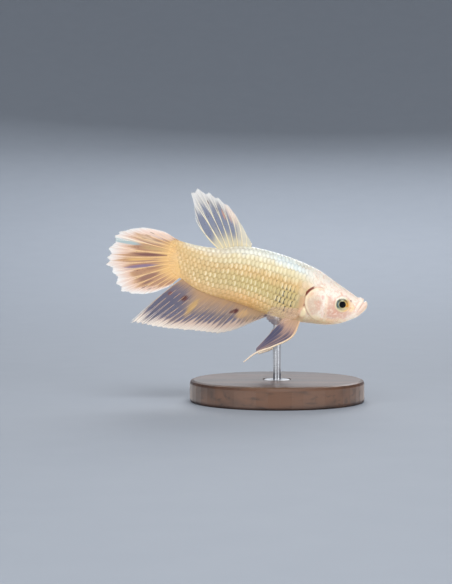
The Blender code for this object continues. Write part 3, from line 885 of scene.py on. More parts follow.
def scale_carrier(name, side):
    """A sheet over one side of the body, with its chart, its normals and where scales grow."""
    columns, rows, past_ridge = 170, 90, 1.3
    along = np.linspace(CARRIER_REAR, CARRIER_FRONT, columns)
    angle = np.linspace(-math.pi / 2, 1.5 * math.pi, 2 * FINE_ANGLES - 1)
    half = (angle > 0) & (angle < math.pi)
    rings = [body_section(np.full_like(angle, place_at(x)), angle) for x in along]
    rings = np.array(rings) * (1, side, 1)
    out = grid_normals(rings)
    out *= np.sign(((rings - rings.mean(axis=1, keepdims=True)) * out).sum(axis=-1).mean())
    places, normal, chart, cover = [], [], [], []
    for x, ring, ring_out in zip(along, rings, out):
        run = run_along(ring)
        low_z, high_z = ring[:, 2].min(), ring[:, 2].max()
        lateral = low_z + (high_z - low_z) * LATERAL_SHARE
        lateral_at = np.interp(-lateral, -ring[half][:, 2], run[half])
        spacing = np.interp(x, *ROW_GAPS.T)
        top, bottom = (lateral_at - np.interp((0.0, math.pi), angle, run)) / spacing
        v = np.linspace(bottom - past_ridge, top + past_ridge, rows)
        at = lateral_at - v * spacing
        places.append(looked_up_along(at, run, ring))
        normal.append(looked_up_along(at, run, ring_out))
        u = np.full(rows, np.interp(x, chart_x, chart_u))
        chart.append(np.stack((u / CHART_COLUMNS, v / CHART_ROWS + 0.5), axis=-1))
        inside = np.minimum(top - v, v - bottom) + 0.42
        cover.append(where_scales_grow(np.full(rows, x), places[-1][:, 2], inside))
    places, normal = np.array(places), np.array(normal)
    normal /= np.linalg.norm(normal, axis=-1, keepdims=True)
    level = places - normal * skin_depth(places[..., :1])
    values = {
        "Out": tilted(normal).reshape(-1, 3),
        "Place": marking_place(places).reshape(-1, 3),
        "Cover": np.array(cover).ravel(),
        "Relief": scale_relief(along[:, None], places[..., 2]).ravel(),
    }
    return carrier_mesh(name, level, np.array(chart).reshape(-1, 2), values)


# %% [markdown]
# The node tree below does the laying. It makes the lattice, shifts every other row, drops the points
# where nothing grows, puts a blank on each point with a small random turn, and joins the copies.
# Then each corner of each copy looks up its place in the chart and moves there. The same tree lays
# fin rays later, so counts and shifts are inputs.

# %% A tree that lays copies on a carrier
INPUTS = [
    ("Carrier", "Geometry", None), ("Blank", "Object", None), ("Finish", "Material", None),
    ("Columns", "Int", 10), ("Rows", "Int", 10), ("First Column", "Float", 0.0), ("First Row", "Float", 0.0),
    ("Stagger", "Float", 0.0), ("Chart Columns", "Float", 1.0), ("Chart Rows", "Float", 1.0),
    ("Chart Middle", "Float", 0.0), ("Random Turn", "Float", 0.0), ("Random Size", "Float", 0.0),
    ("Patch", "Float", 0.003), ("Seed", "Int", 1), ("Turn Faces", "Bool", False),
]
VECTOR = "FLOAT_VECTOR"


def laying_tree():
    """The node group that lays copies of a blank on a carrier, by the carrier's chart."""
    tree = bpy.data.node_groups.new("lay copies on a carrier", "GeometryNodeTree")
    tree.interface.new_socket("Result", in_out="OUTPUT", socket_type="NodeSocketGeometry")
    for name, kind, value in INPUTS:
        socket = tree.interface.new_socket(name, in_out="INPUT", socket_type="NodeSocket" + kind)
        if value is not None:
            socket.default_value = value
    bench = Bench(tree)
    get = bench.node("NodeGroupInput").part

    def position():
        return bench.node("GeometryNodeInputPosition")

    def named(name, kind=VECTOR):
        settings = {"data_type": kind}
        return bench.node("GeometryNodeInputNamedAttribute", settings, {"Name": name}, "Attribute")

    def from_carrier(value, where, kind=VECTOR):
        """A value of the carrier, read at a place of its chart."""
        sockets = {"Mesh": get("Carrier"), "Value": value, "UV Map": named("Chart"), "Sample UV": where}
        return bench.node("GeometryNodeSampleUVSurface", {"data_type": kind}, sockets, "Value")

    def on_chart(vector):
        u, v = bench.parts(vector)[:2]
        return bench.join(u / get("Chart Columns"), v / get("Chart Rows") + get("Chart Middle"), 0.0)

    def stored(geometry, name, kind, value, domain="POINT"):
        sockets = {"Geometry": geometry, "Name": name, "Value": value}
        return bench.node("GeometryNodeStoreNamedAttribute", {"data_type": kind, "domain": domain}, sockets)

    def chance(low, shift):
        sockets = {"Min": low, "Max": 1.0, "Seed": get("Seed") * 7 + shift}
        return bench.node("FunctionNodeRandomValue", {"data_type": "FLOAT"}, sockets)

    # The lattice of chart places, every other row shifted.
    size_x, size_y = get("Columns") - 1, get("Rows") - 1
    sizes = {"Size X": size_x, "Size Y": size_y, "Vertices X": get("Columns"), "Vertices Y": get("Rows")}
    grid = bench.node("GeometryNodeMeshGrid", {}, sizes)
    x, y = bench.parts(position())[:2]
    row_number = (y + size_y * 0.5 + 0.5) // 1
    column = x + size_x * 0.5 + get("First Column") + (row_number % 2) * get("Stagger")
    lattice = bench.join(column, y + size_y * 0.5 + get("First Row"), 0.0)
    points = bench.node("GeometryNodeSetPosition", {}, {"Geometry": grid, "Position": lattice})
    # What each copy remembers of its root, and a copy on each point where something grows.
    here = on_chart(position())
    points = stored(points, "Place", VECTOR, from_carrier(named("Place"), here))
    points = stored(points, "Relief", "FLOAT", from_carrier(named("Relief", "FLOAT"), here, "FLOAT"))
    points = stored(points, "Root", VECTOR, here)
    points = stored(points, "Chance", "FLOAT", chance(0.0, 1))
    cover = {"A": from_carrier(named("Cover", "FLOAT"), here, "FLOAT"), "B": 0.0}
    grows = bench.node("FunctionNodeCompare", {"data_type": "FLOAT"}, cover)
    kind = {"transform_space": "ORIGINAL"}
    body = bench.node("GeometryNodeObjectInfo", kind, {"Object": get("Blank")}, "Geometry")
    turn = bench.join(0.0, 0.0, chance(-1.0, 2) * get("Random Turn"))
    size = 1 + chance(-1.0, 3) * get("Random Size")
    sockets = {"Points": points, "Selection": grows, "Instance": body, "Scale": bench.join(size, size, size)}
    sockets["Rotation"] = bench.node("FunctionNodeEulerToRotation", {}, {"Euler": turn})
    copies = bench.node("GeometryNodeInstanceOnPoints", {}, sockets)
    copies = bench.node("GeometryNodeRealizeInstances", {}, {"Geometry": copies})
    # The flat sheet of copies is wrapped onto the carrier, and stands out from it by its own height.
    flat = position()
    where = on_chart(flat)
    height = bench.parts(flat)[2] * named("Relief", "FLOAT") * MM
    lift = bench.vector("SCALE", from_carrier(named("Out"), where), Scale=height)
    laid = bench.vector("ADD", from_carrier(position(), where), lift)
    copies = stored(copies, "Spot", VECTOR, from_carrier(named("Place"), where))
    copies = bench.node("GeometryNodeSetPosition", {}, {"Geometry": copies, "Position": laid})
    centred = bench.vector("SUBTRACT", named("Local"), (0.5, 0.5, 0.0))
    patch = bench.vector("ADD", named("Root"), bench.vector("SCALE", centred, Scale=get("Patch")))
    copies = stored(copies, "OFBake", "FLOAT2", patch, "CORNER")
    copies = bench.node("GeometryNodeFlipFaces", {}, {"Mesh": copies, "Selection": get("Turn Faces")})
    copies = bench.node("GeometryNodeSetMaterial", {}, {"Geometry": copies, "Material": get("Finish")})
    bench.node("NodeGroupOutput", {}, {"Result": copies})
    return tree


laying = laying_tree()
print("nodes in the laying tree:", len(laying.nodes))


def laid_copies(name, carrier, settings):
    """Runs the laying tree on a carrier and returns the result as a plain mesh piece."""
    modifier = carrier.modifiers.new("lay", "NODES")
    modifier.node_group = laying
    for item in laying.interface.items_tree:
        if item.in_out == "INPUT" and item.name in settings:
            modifier[item.identifier] = settings[item.name]
    graph = bpy.context.evaluated_depsgraph_get()
    graph.update()
    mesh = bpy.data.meshes.new_from_object(carrier.evaluated_get(graph), depsgraph=graph)
    mesh.name = name
    piece = bpy.data.objects.new(name, mesh)
    bpy.context.scene.collection.objects.link(piece)
    carrier.modifiers.remove(modifier)
    bpy.data.objects.remove(carrier)
    return piece


# %% [markdown]
# ## The scales' finish
# Each scale takes its colour from the markings near its root. Where it comes out from under the scale
# in front it is darker, painted shade with some darker pigment, and a pale painted highlight follows,
# which draws the fine net over the flank. Its rear edge is a little paler, a faint painted highlight.
# Behind the gill cover the gaps are grey-green, partly pigment and partly painted shade, and some
# scales are brighter.

# %% Scale material
scale_material, bench = new_material("scales")
chance = bench.attribute("Chance", "Fac")
length, width = bench.parts(bench.attribute("Local"))[:2]
ends = {"Factor": 0.65, "A": bench.attribute("Place"), "B": bench.attribute("Spot")}
place = bench.node("ShaderNodeMix", {"data_type": "VECTOR"}, ends)
x, height = bench.parts(place)[:2]
coats = flesh_coats(bench, place)
side = abs(width - 0.5) * 2
rim = length + 0.34 * side**2.3
curve = length - 0.12 * side * side
calm = (1 - x.rise(24.0, 31.0) * 0.85) * (0.35 + 0.65 * height.rise(0.6, 2.6))
tail = x.rise(-0.5, 6.0)
khaki_area = height.fall(6.6, 8.2) * (1 - x.rise(26.0, 31.0) * 0.6)
# darker where the scale comes out from under the one in front: painted shade under that scale's edge, with
# some darker pigment
emerging = curve.fall(0.47, 0.60) * (1 - side.rise(0.5, 1.0) * 0.6)
shade = emerging * (0.12 + 0.30 * khaki_area) * calm * (0.3 + 0.7 * tail)
coats.lay(shade, (164, 130, 78))
# grey-green dashes between the scales behind the gill cover: dark pigment, deepened as painted shade
dark_area = soft_spot(bench, place, 26.0, -3.4, 3.5, 4.3, 0.0, 0.5)
leaning = curve + (width - 0.5) * 0.20
gap_shade = leaning.fall(0.52, 0.61) * dark_area * side.fall(0.45, 0.85) * chance.rise(-0.4, 0.6)
coats.lay(gap_shade * 0.95, (64, 66, 54))
bright = chance.rise(0.1, 0.9)
# a pale crescent on each scale: painted highlight
glint = curve.rise(0.53, 0.60) * curve.fall(0.68, 0.82) * side.fall(0.35, 0.90)
glint = glint * (0.12 + 0.28 * bright) * calm * (0.35 + 0.65 * tail)
coats.lay(glint, (255, 250, 222))
# a paler line along each scale's rear edge: painted highlight
edge = rim.rise(0.86, 0.96) * (1 - side.rise(0.30, 0.85) * 0.85) * calm * (0.3 + 0.7 * tail)
coats.lay(edge * 0.22, (250, 240, 210))
tone = bench.vector("SCALE", coats.colour, Scale=(chance - 0.5) * 0.10 + 1)
rings = bench.noise(bench.join(length * 30, width * 3, chance * 50), 1.0, 1.0)
finish_surface(
    bench, Base_Color=tone, Roughness=0.36, Normal=bench.bump(rings, 0.12, 0.00005),
    Subsurface_Weight=0.12, Subsurface_Radius=(1.0, 0.6, 0.35), Subsurface_Scale=0.0006,
    Coat_Weight=0.4, Coat_Roughness=0.18,
)

# %% Lay the scales
for (word, side), seed in zip(SIDES.items(), (3, 8)):
    carrier = scale_carrier(f"carrier_{word}", side)
    settings = {
        "Blank": blank,
        "Columns": CHART_COLUMNS,
        "Rows": 15,
        "First Row": -7.0,
        "Stagger": 0.5,
        "Chart Columns": float(CHART_COLUMNS),
        "Chart Rows": float(CHART_ROWS),
        "Chart Middle": 0.5,
        "Random Turn": 0.05,
        "Random Size": 0.05,
        "Seed": seed,
        "Turn Faces": side < 0,
        "Finish": scale_material,
    }
    scales = laid_copies(f"scales_{word}", carrier, settings)
    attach(scales, "root")
    triangles = sum(len(face.vertices) - 2 for face in scales.data.polygons)
    print(scales.name, "triangles:", triangles, [a.name for a in scales.data.attributes][:12])
bpy.data.objects.remove(blank)

# %% [markdown]
# ## Eyes
# A fish's eye is a nearly round ball with a flat clear front and no lids. The pupil is a black disc,
# and the metallic iris changes colour round it: grey-teal behind, gold in front, pale below. One
# turned shape is enough, with the rings painted by their distance from the eye's middle.

# %% Make the eyes
EYE_RADIUS, EYE_FLATNESS = 1.72, 0.72
PUPIL = 0.76
PUPIL_BLACK = (6.5892, 6.5892, 9.8838)  # 0.002, 0.002 and 0.003 as linear light
IRIS_DISH = 0.07
EYE_RINGS, EYE_SIDES = 48, 96


def eye_piece(name, side):
    """A flattened ball, its iris dished a little round a bulging pupil."""
    turn = np.linspace(0.0, math.pi, EYE_RINGS + 1)[1:-1]
    turn, angle = np.meshgrid(turn, ring_of(EYE_SIDES), indexing="ij")
    radius = EYE_RADIUS * np.sin(turn)
    out = EYE_RADIUS * EYE_FLATNESS * np.cos(turn)
    out -= IRIS_DISH * bell(radius, 1.08, 0.22) * (turn < math.pi / 2)
    x = EYE_SET[0] + radius * np.cos(angle)
    z = EYE_SET[2] + radius * np.sin(angle)
    y = side * (EYE_SET[1] + out)
    level = np.stack((x, y, z), axis=-1)
    tips = [(EYE_SET[0], side * (EYE_SET[1] + k * EYE_RADIUS * EYE_FLATNESS), EYE_SET[2]) for k in (1, -1)]
    level = np.concatenate((level.reshape(-1, 3), np.array(tips)))
    faces = tube_faces(EYE_RINGS - 1, EYE_SIDES)
    if side > 0:
        faces = [face[::-1] for face in faces]
    offset = (level - EYE_SET * (1, side, 1)) * (1, side, 1)
    return add_mesh(name, in_model(level), faces, {"Offset": offset})


eye_material, bench = new_material("eye")
offset = bench.attribute("Offset")
ex, ey, ez = bench.parts(offset)
stir = bench.noise(offset, 3.0, 3.0) - 0.5
radius = (ex * ex + ez * ez) ** 0.5
ragged = radius + stir * 0.10
flecks = bench.noise(bench.join(ex * 3, ez * 3, 0.0), 5.0, 4.0)
iris = Coats(bench, (70, 106, 122))
iris.lay((ex - ez * 0.2).rise(-0.25, 0.5), (214, 142, 24))
iris.lay(ez.rise(0.2, 0.9) * 0.75, (104, 96, 62))
iris.lay((ez - ex * 0.3).fall(-1.0, -0.5) * 0.75, (206, 208, 180))
iris.lay(flecks.rise(0.45, 0.7) * 0.3, (240, 226, 170))
outer = Coats(bench, (232, 214, 160))
outer.lay(ez.rise(-1.2, 1.2), (252, 248, 226))
outer.lay(ex.rise(0.2, 1.2) * 0.75, (246, 192, 100))
pupil = radius.fall(PUPIL - 0.03, PUPIL + 0.03)
iris.lay(ragged.rise(1.28, 1.46), outer.colour)
iris.lay(ragged.rise(0.74, 0.80) * ragged.fall(0.86, 0.96) * 0.5, (214, 196, 120))
iris.lay(pupil, PUPIL_BLACK)
finish_surface(
    bench, Base_Color=iris.colour, Roughness=0.30, Specular_IOR_Level=0.10,
    Metallic=(1 - pupil) * ragged.fall(1.2, 1.4) * 0.25, Coat_Weight=1.0 - 0.93 * pupil, Coat_Roughness=0.03,
)
for word, side in SIDES.items():
    eye = eye_piece(f"eye_{word}_glossy", side)
    eye.data.materials.append(eye_material)
    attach(eye, "root")
    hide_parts(f"eye_{word}")

# %% [markdown]
# ## Fins
# A fin is a thin skin stretched over soft rays, which fork towards the edge. Each fin is drawn by three
# lines, at its root, middle and tip. The membrane is a thin closed shell on that surface, cut in
# between the rays' tips. The rays are laid on it by the same tree as the scales.

# %% Fin lines
FINS = {
    "dorsal_fin": {
        "root": [(15.5, 6.2), (12, 5.2), (9.2, 4.2)],
        "middle": [(15.5, 7.3), (13.6, 8.9), (11.4, 10.3), (9.2, 11), (7, 11.1), (5.1, 10.4), (4.1, 7.7)],
        "tip": [(15, 7.9), (12, 11.4), (9, 14.4), (5.6, 16.1), (2.4, 17.0), (-0.9, 16.7), (1.2, 11.9)],
        "rays": 9, "notch": 0.07, "sway": 0.5, "uneven": 0.03,
    },
    "anal_fin": {
        "root": [(22.9, -7.2), (18.2, -6.4), (13.6, -5.9), (8.9, -5.6), (2.6, -3.4)],
        "middle": [(22.8, -7.9), (16.6, -10.2), (10.1, -11.1), (4.1, -11.6), (-2.2, -9.2)],
        "tip": [(22.3, -8.4), (14.2, -14), (6.9, -15.2), (-0.2, -16), (-7.2, -16.6)],
        "rays": 24, "notch": 0.035, "sway": 0.9, "uneven": 0.03,
    },
    "caudal_fin": {
        "root": [
            (0.3, 4.0), (-0.5, 3.3), (-1.0, 2.3), (-1.25, 0.3), (-1.05, -1.6), (-0.2, -3.0), (1.2, -3.9),
        ],
        "tip": [
            (-1.8, 4.6), (-4.3, 5.5), (-7.0, 5.6), (-9.5, 5.4), (-12.0, 4.5), (-14.7, 3.2), (-15.5, 2.1),
            (-16.3, -1.1), (-16.2, -3.2), (-15.9, -4.8), (-14.1, -6.2), (-12.7, -8.6), (-11.1, -10.0),
            (-8.7, -10.1), (-6.0, -9.5), (-3.5, -8.4), (-0.8, -6.6),
        ],
        "rays": 17, "notch": 0.068, "sway": 0.8, "uneven": 0.02,
    },
    "pectoral_fin": {
        "root": [(29.5, -4.5), (29.8, -5.4), (29.6, -6.2)],
        "middle": [(26.3, -4.9), (26, -6.6), (27, -8)],
        "tip": [(23, -5.5), (22.2, -8), (24.5, -9.5)],
        "rays": 9, "notch": 0.03, "sway": 0.0,
    },
}
FINS["pelvic_fin"] = {"rays": 6, "notch": 0.0}
PELVIC_LEADING = [(30.2, -7.2), (29.3, -11.2), (25.6, -14.3), (22.2, -16.5), (19.8, -19.2)]
PELVIC_TRAILING = [(26.7, -7.2), (24.6, -11.1), (21.9, -15.6)]
PELVIC_BLADE_SHARE = 0.76
PELVIC_LEFT_SHORTER = 0.86


def along_line(points, share):
    """Points of a smooth line, at shares of its stations."""
    return smooth_line(points, share * (len(points) - 1))


def fin_flat(fin, across, along):
    """Flat place (x, z) of a fin: across from its first ray to its last, along from root to tip."""
    root, tip = along_line(fin["root"], across), along_line(fin["tip"], across)
    middle = along_line(fin["middle"], across) if "middle" in fin else (root + tip) / 2
    ahead = along[..., None]
    left = 1 - ahead
    return root * left * (left - ahead) + middle * 4 * ahead * left + tip * ahead * (ahead - left)


def pelvic_drop(share, side):
    """How far the left pelvic fin hangs below the right one, which it is not quite level with."""
    return rise(share, 0.2, 0.6)[..., None] * (0.35, -0.85) * (side > 0)


def pelvic_splay(share, side):
    """How far out a pelvic fin stands from the fish's middle."""
    return side * (1.3 + 2.4 * share)


def fin_level(name, across, along, side):
    """Level places of a fin, sway and splay included."""
    across, along = np.broadcast_arrays(across, along)
    if name == "pelvic_fin":
        share = along * PELVIC_BLADE_SHARE * (1.0 if side < 0 else PELVIC_LEFT_SHORTER)
        lead = along_line(PELVIC_LEADING, share)
        trail = along_line(PELVIC_TRAILING, along)
        flat = lead + (trail - lead) * across[..., None] + pelvic_drop(share, side)
        y = pelvic_splay(share, side)
    else:
        along = along * ray_reach(name, across)
        flat = fin_flat(FINS[name], across, along)
        y = FINS[name]["sway"] * along**2 * np.sin(math.pi * (1.5 * across + 0.2))
    if name == "pectoral_fin":
        y = side * (3.3 + 2.6 * np.maximum(along, 0) ** 0.8 + 0.5 * along * across)
    return np.stack((flat[..., 0], y, flat[..., 1]), axis=-1)


def ray_reach(name, across):
    """How long the rays are: each a little shorter than the fin's drawn edge by its own share."""
    fin = FINS[name]
    if "uneven" not in fin:
        return np.ones_like(across)
    chances = np.random.default_rng(fin["rays"]).random(fin["rays"])
    lengths = 1 + fin["uneven"] * (0.35 - chances)
    lengths[[0, -1]] = 1.0
    return np.interp(across * (fin["rays"] - 1), np.arange(fin["rays"]), lengths)


# %% Rays that fork
FIRST_FORK, SECOND_FORK = 0.40, 0.70  # shares of a ray's length
FIRST_SPREAD, SECOND_SPREAD = 0.25, 0.125  # in ray spacings
FORK_OVERLAP = 0.03
MARGIN_POWER = 0.75
TWIG_NOTCH = 0.012
RAY_SIDES = 6
RAY_CHART = (3, 1.2)  # chart units across, past the rays' count, and along
RAY_CHART_START = (2.0, 0.08)


def ray_offsets(along):
    """How far the two forks have spread, in ray spacings."""
    first = FIRST_SPREAD * rise(along, FIRST_FORK - 0.04, 1.05)
    return first, SECOND_SPREAD * rise(along, SECOND_FORK - 0.03, 1.10)


def notch_share(fin_name, ray):
    """How deep the edge is cut near a ray. The tail fin's upper and lower edges are nearly whole."""
    if fin_name != "caudal_fin":
        return 1.0
    return 0.25 + 0.75 * rise(ray, 4, 6) * fall(ray, 12, 14)


def from_nearest_ray(ray):
    """How far a place is from a ray, in ray spacings."""
    return np.abs(ray - np.round(ray))


def margin(ray, notch):
    """How far along a fin's edge is: drawn in between the rays and between their twigs."""
    from_ray = from_nearest_ray(ray)
    from_twig = np.abs(np.abs(from_ray - FIRST_SPREAD) - SECOND_SPREAD)
    return 1.0 - notch * (from_ray / 0.5) ** MARGIN_POWER - TWIG_NOTCH * (from_twig / SECOND_SPREAD)


def fin_membrane(name, fin_name, side, rays, notch, thick, steps):
    """The closed, thin shell of a fin, with its chart in ray numbers and length shares."""
    across = np.linspace(0, 1, (rays - 1) * steps[0] + 1)[:, None]
    ray = across * (rays - 1)
    share = np.linspace(0, 1, steps[1])[None, :]
    along = share * margin(ray, notch * notch_share(fin_name, ray))
    level = fin_level(fin_name, across, along, side)
    half = (thick[0] + (thick[1] - thick[0]) * rise(along, 0.0, 0.8)) / 2
    half = half * (1.0 + 0.5 * bell(from_nearest_ray(ray), 0.0, 0.22))
    half = half * (0.25 + 0.75 * fall(share, 0.93, 1.0))
    out = grid_normals(level) * half[..., None]
    places = np.concatenate(((level + out).reshape(-1, 3), (level - out).reshape(-1, 3)))
    sheet = np.stack(np.broadcast_arrays(ray, along, 0.0), axis=-1).reshape(-1, 3)
    values = {"Fin": np.concatenate((sheet, sheet))}
    return add_mesh(name, in_model(places), shell_faces(*level.shape[:2]), values)


def face_outwards(piece):
    """Turns a closed piece's faces round if its signed volume says that they point inwards."""
    mesh = piece.data
    mesh.calc_loop_triangles()
    corners = np.zeros(len(mesh.loop_triangles) * 3, np.int32)
    mesh.loop_triangles.foreach_get("vertices", corners)
    places = np.zeros(len(mesh.vertices) * 3)
    mesh.vertices.foreach_get("co", places)
    a, b, c = (places.reshape(-1, 3)[corners.reshape(-1, 3)[:, k]] for k in range(3))
    if (a * np.cross(b, c)).sum() < 0:
        mesh.flip_normals()
    return piece


def ray_blank(name, spacing, thick, forked, notch):
    """A soft ray from root to tip, in chart units across, with its forks. Spacing is in millimetres."""
    places, faces, local = [], [], []
    turns = ring_of(RAY_SIDES)

    def rod(start, stop, signs, steps):
        along = np.linspace(start, stop, steps)
        first, second = ray_offsets(along)
        middle = signs[0] * first + signs[1] * second
        wide = (thick[0] + (thick[1] - thick[0]) * along) * (1.0, 0.72, 0.52)[sum(map(abs, signs))]
        end = rise(stop - along, -0.01, 0.05) * 0.85 + 0.15
        gap = np.maximum(np.interp(along, (0.0, 1.0), spacing), wide * 1.2)
        x = middle[:, None] + (wide * end / gap)[:, None] * np.cos(turns) / 2
        z = (wide * end)[:, None] * np.sin(turns) * 0.62
        y = np.broadcast_to(along[:, None], x.shape)
        faces.extend([[len(places) + k for k in face] for face in tube_faces(steps, RAY_SIDES)])
        places.extend(np.stack((x, y, z), axis=-1).reshape(-1, 3).tolist())
        places.extend([(float(middle[0]), start, 0.0), (float(middle[-1]), stop, 0.0)])
        local.extend([(0.5, float(value), 0.0) for value in (*y.ravel(), start, stop)])

    if not forked:
        rod(0.0, 1.0, (0, 0), 30)
    else:
        rod(0.0, FIRST_FORK + FORK_OVERLAP, (0, 0), 14)
        for first in (-1, 1):
            rod(FIRST_FORK, SECOND_FORK + FORK_OVERLAP, (first, 0), 12)
            for second in (-1, 1):
                out = abs(first * FIRST_SPREAD + second * SECOND_SPREAD)
                tip = 1.0 - notch * (out / 0.5) ** MARGIN_POWER + 0.006
                rod(SECOND_FORK, tip, (first, second), 12)
    return add_mesh(name, np.array(places), faces, {"Local": np.array(local)})


def ray_carrier(name, fin_name, side, rays):
    """A sheet on the fin's middle surface that knows its chart, for the rays to be laid on."""
    over = 1.2 / (rays - 1)
    across = np.linspace(-over, 1 + over, 140)[:, None]
    along = np.linspace(-0.02, 1.03, 60)[None, :]
    level = fin_level(fin_name, across, along, side)
    chart = np.stack(np.broadcast_arrays(across * (rays - 1), along), axis=-1).reshape(-1, 2)
    count = len(chart)
    values = {
        "Out": tilted(grid_normals(level)).reshape(-1, 3),
        "Place": np.concatenate((chart, np.zeros((count, 1))), axis=1),
        "Cover": np.ones(count),
        "Relief": np.ones(count),
    }
    units = (rays + RAY_CHART[0], RAY_CHART[1])
    chart = chart / units + (RAY_CHART_START[0] / units[0], RAY_CHART_START[1])
    return carrier_mesh(name, level, chart, values)


def mean_spacing(fin_name, side, rays):
    """The gap between rays at the root and at the tip, in millimetres."""
    across = np.linspace(0, 1, 60)
    root, tip = (run_along(fin_level(fin_name, across, along, side))[-1] / (rays - 1) for along in (0.0, 1.0))
    return max(root, 0.12), tip


# %% [markdown]
# ## The fins' finish
# The membrane is clear grey with a lilac cast, streaked along the rays, creamier at the root and
# pinkish white at the edge. Rays are cream and opaque, crossed by the fine joints of their segments.

# %% Fin materials
SHEET_LENGTH = 8  # the marks' sheet has a ray spacing as its unit, and is this long from root to edge


def ray_material(name, root_tint, middle_tint, tip_tint, clearness=1.0):
    """A ray's finish, from root to tip, with the dark joints of its segments."""
    material, bench = new_material(name)
    along = bench.parts(bench.attribute("Local"))[1]
    coats = Coats(bench, root_tint)
    coats.lay(along.rise(0.05, 0.55), middle_tint)
    coats.lay(along.rise(0.55, 0.95), tip_tint)
    joints = abs((along * 34 + bench.attribute("Chance", "Fac") * 5) % 1 - 0.5)
    coats.lay(joints.fall(0.03, 0.14) * along.rise(0.1, 0.3) * 0.22, (150, 110, 84))
    finish_surface(
        bench, Base_Color=coats.colour, Roughness=0.45, Alpha=clearness, Coat_Weight=0.2, Coat_Roughness=0.3
    )
    return material


def membrane_material(name, tints, clearness, flames, gaps, streak, marks=()):
    """A fin's skin. Tints and clearness are given at the root, middle and edge.
    Flames are the opaque tongues that run inwards along the rays from the edge: where they start on a
    ray, how much later between rays, how opaque, and how much later from one ray to the next. Gaps are
    the clear strips between them: tint, clearness, strength, half width, start and stop. Marks are
    ragged spots: ray, place along, width, length, tint and strength, then the turn of a leaning one."""
    material, bench = new_material(name)
    u, v = bench.parts(bench.attribute("Fin"))[:2]
    wander = bench.noise(bench.join(u * 0.9, v * 1.6, 0.0), 1.0, 2.0) - 0.5
    each = bench.noise(bench.join((u + 0.5) // 1 * 3.7, v * 0.6, 5.0), 1.0, 1.0) - 0.5
    near = v + wander * 0.30
    fine = bench.noise(bench.join(u * 7.0, v * 1.4, 3.0), 1.0, 3.0)
    finer = bench.noise(bench.join(u * 16.0, v * 2.6, 7.0), 1.0, 2.0)
    coats = Coats(bench, tints[0])
    coats.lay(near.rise(0.0, 0.40), tints[1])
    solid = clearness[0] + (clearness[1] - clearness[0]) * near.rise(0.05, 0.5)
    streaks = fine.rise(0.47, 0.66) * (0.30 + 0.70 * near.rise(0.0, 0.30))
    coats.lay(streaks * streak[1], streak[0])
    grown = 0.25 + 0.75 * near.rise(0.0, 0.25)
    coats.lay(finer.rise(0.52, 0.70) * grown * 0.35, tints[2])
    coats.lay(finer.fall(0.30, 0.46) * grown * 0.30, streak[0])
    from_ray = abs(u - (u + 0.5) // 1)
    tint, gap_clearness, strength, half_width, start, stop = gaps
    ragged = from_ray + (fine - 0.5) * 0.25
    gap = ragged.rise(half_width - 0.07, half_width + 0.07)
    gap = gap * near.rise(start - 0.12, start + 0.12) * near.fall(stop - 0.12, stop + 0.12)
    gap = gap * wander.rise(-0.30, 0.02) * strength
    coats.lay(gap, tint)
    solid = solid + (gap_clearness - solid) * gap
    sheet = bench.join(u, v * SHEET_LENGTH, 0.0)
    start, later, flame_solid, slope = flames
    reach = near - from_ray * later - u * slope + (fine - 0.5) * 0.35 + each * 0.35
    flame = reach.rise(start - 0.05, start + 0.10)
    pale = Coats(bench, tints[2])
    pale.lay((v + (finer - 0.5) * 0.3).rise(0.70, 1.02), tints[3])
    pale.lay(fine.fall(0.34, 0.48) * 0.35, tints[1])
    coats.lay(flame, pale.colour)
    dots = bench.noise(bench.join(u * 6.0, v * 42.0, 11.0), 1.0, 2.0).rise(0.62, 0.70)
    coats.lay(dots * near.rise(0.12, 0.3) * near.fall(0.62, 0.85) * 0.6, (108, 76, 70))
    solid = solid + (flame_solid - solid) * flame
    for mu, mv, width, length, tint, share, *turn in marks:
        middle, size = (mu, mv * SHEET_LENGTH), (width, length * SHEET_LENGTH)
        ragged = bench.from_middle(sheet, middle, size, *turn) + (fine - 0.5) * 1.1 + (finer - 0.5) * 0.5
        mark = ragged.fall(0.45, 0.95) * share
        coats.lay(mark, tint)
        solid = solid.most(mark * 0.9)
    finish_surface(
        bench, Base_Color=coats.colour, Roughness=0.5, Alpha=solid.most(0.03).least(0.98),
        Coat_Weight=0.15, Coat_Roughness=0.3,
    )
    return material


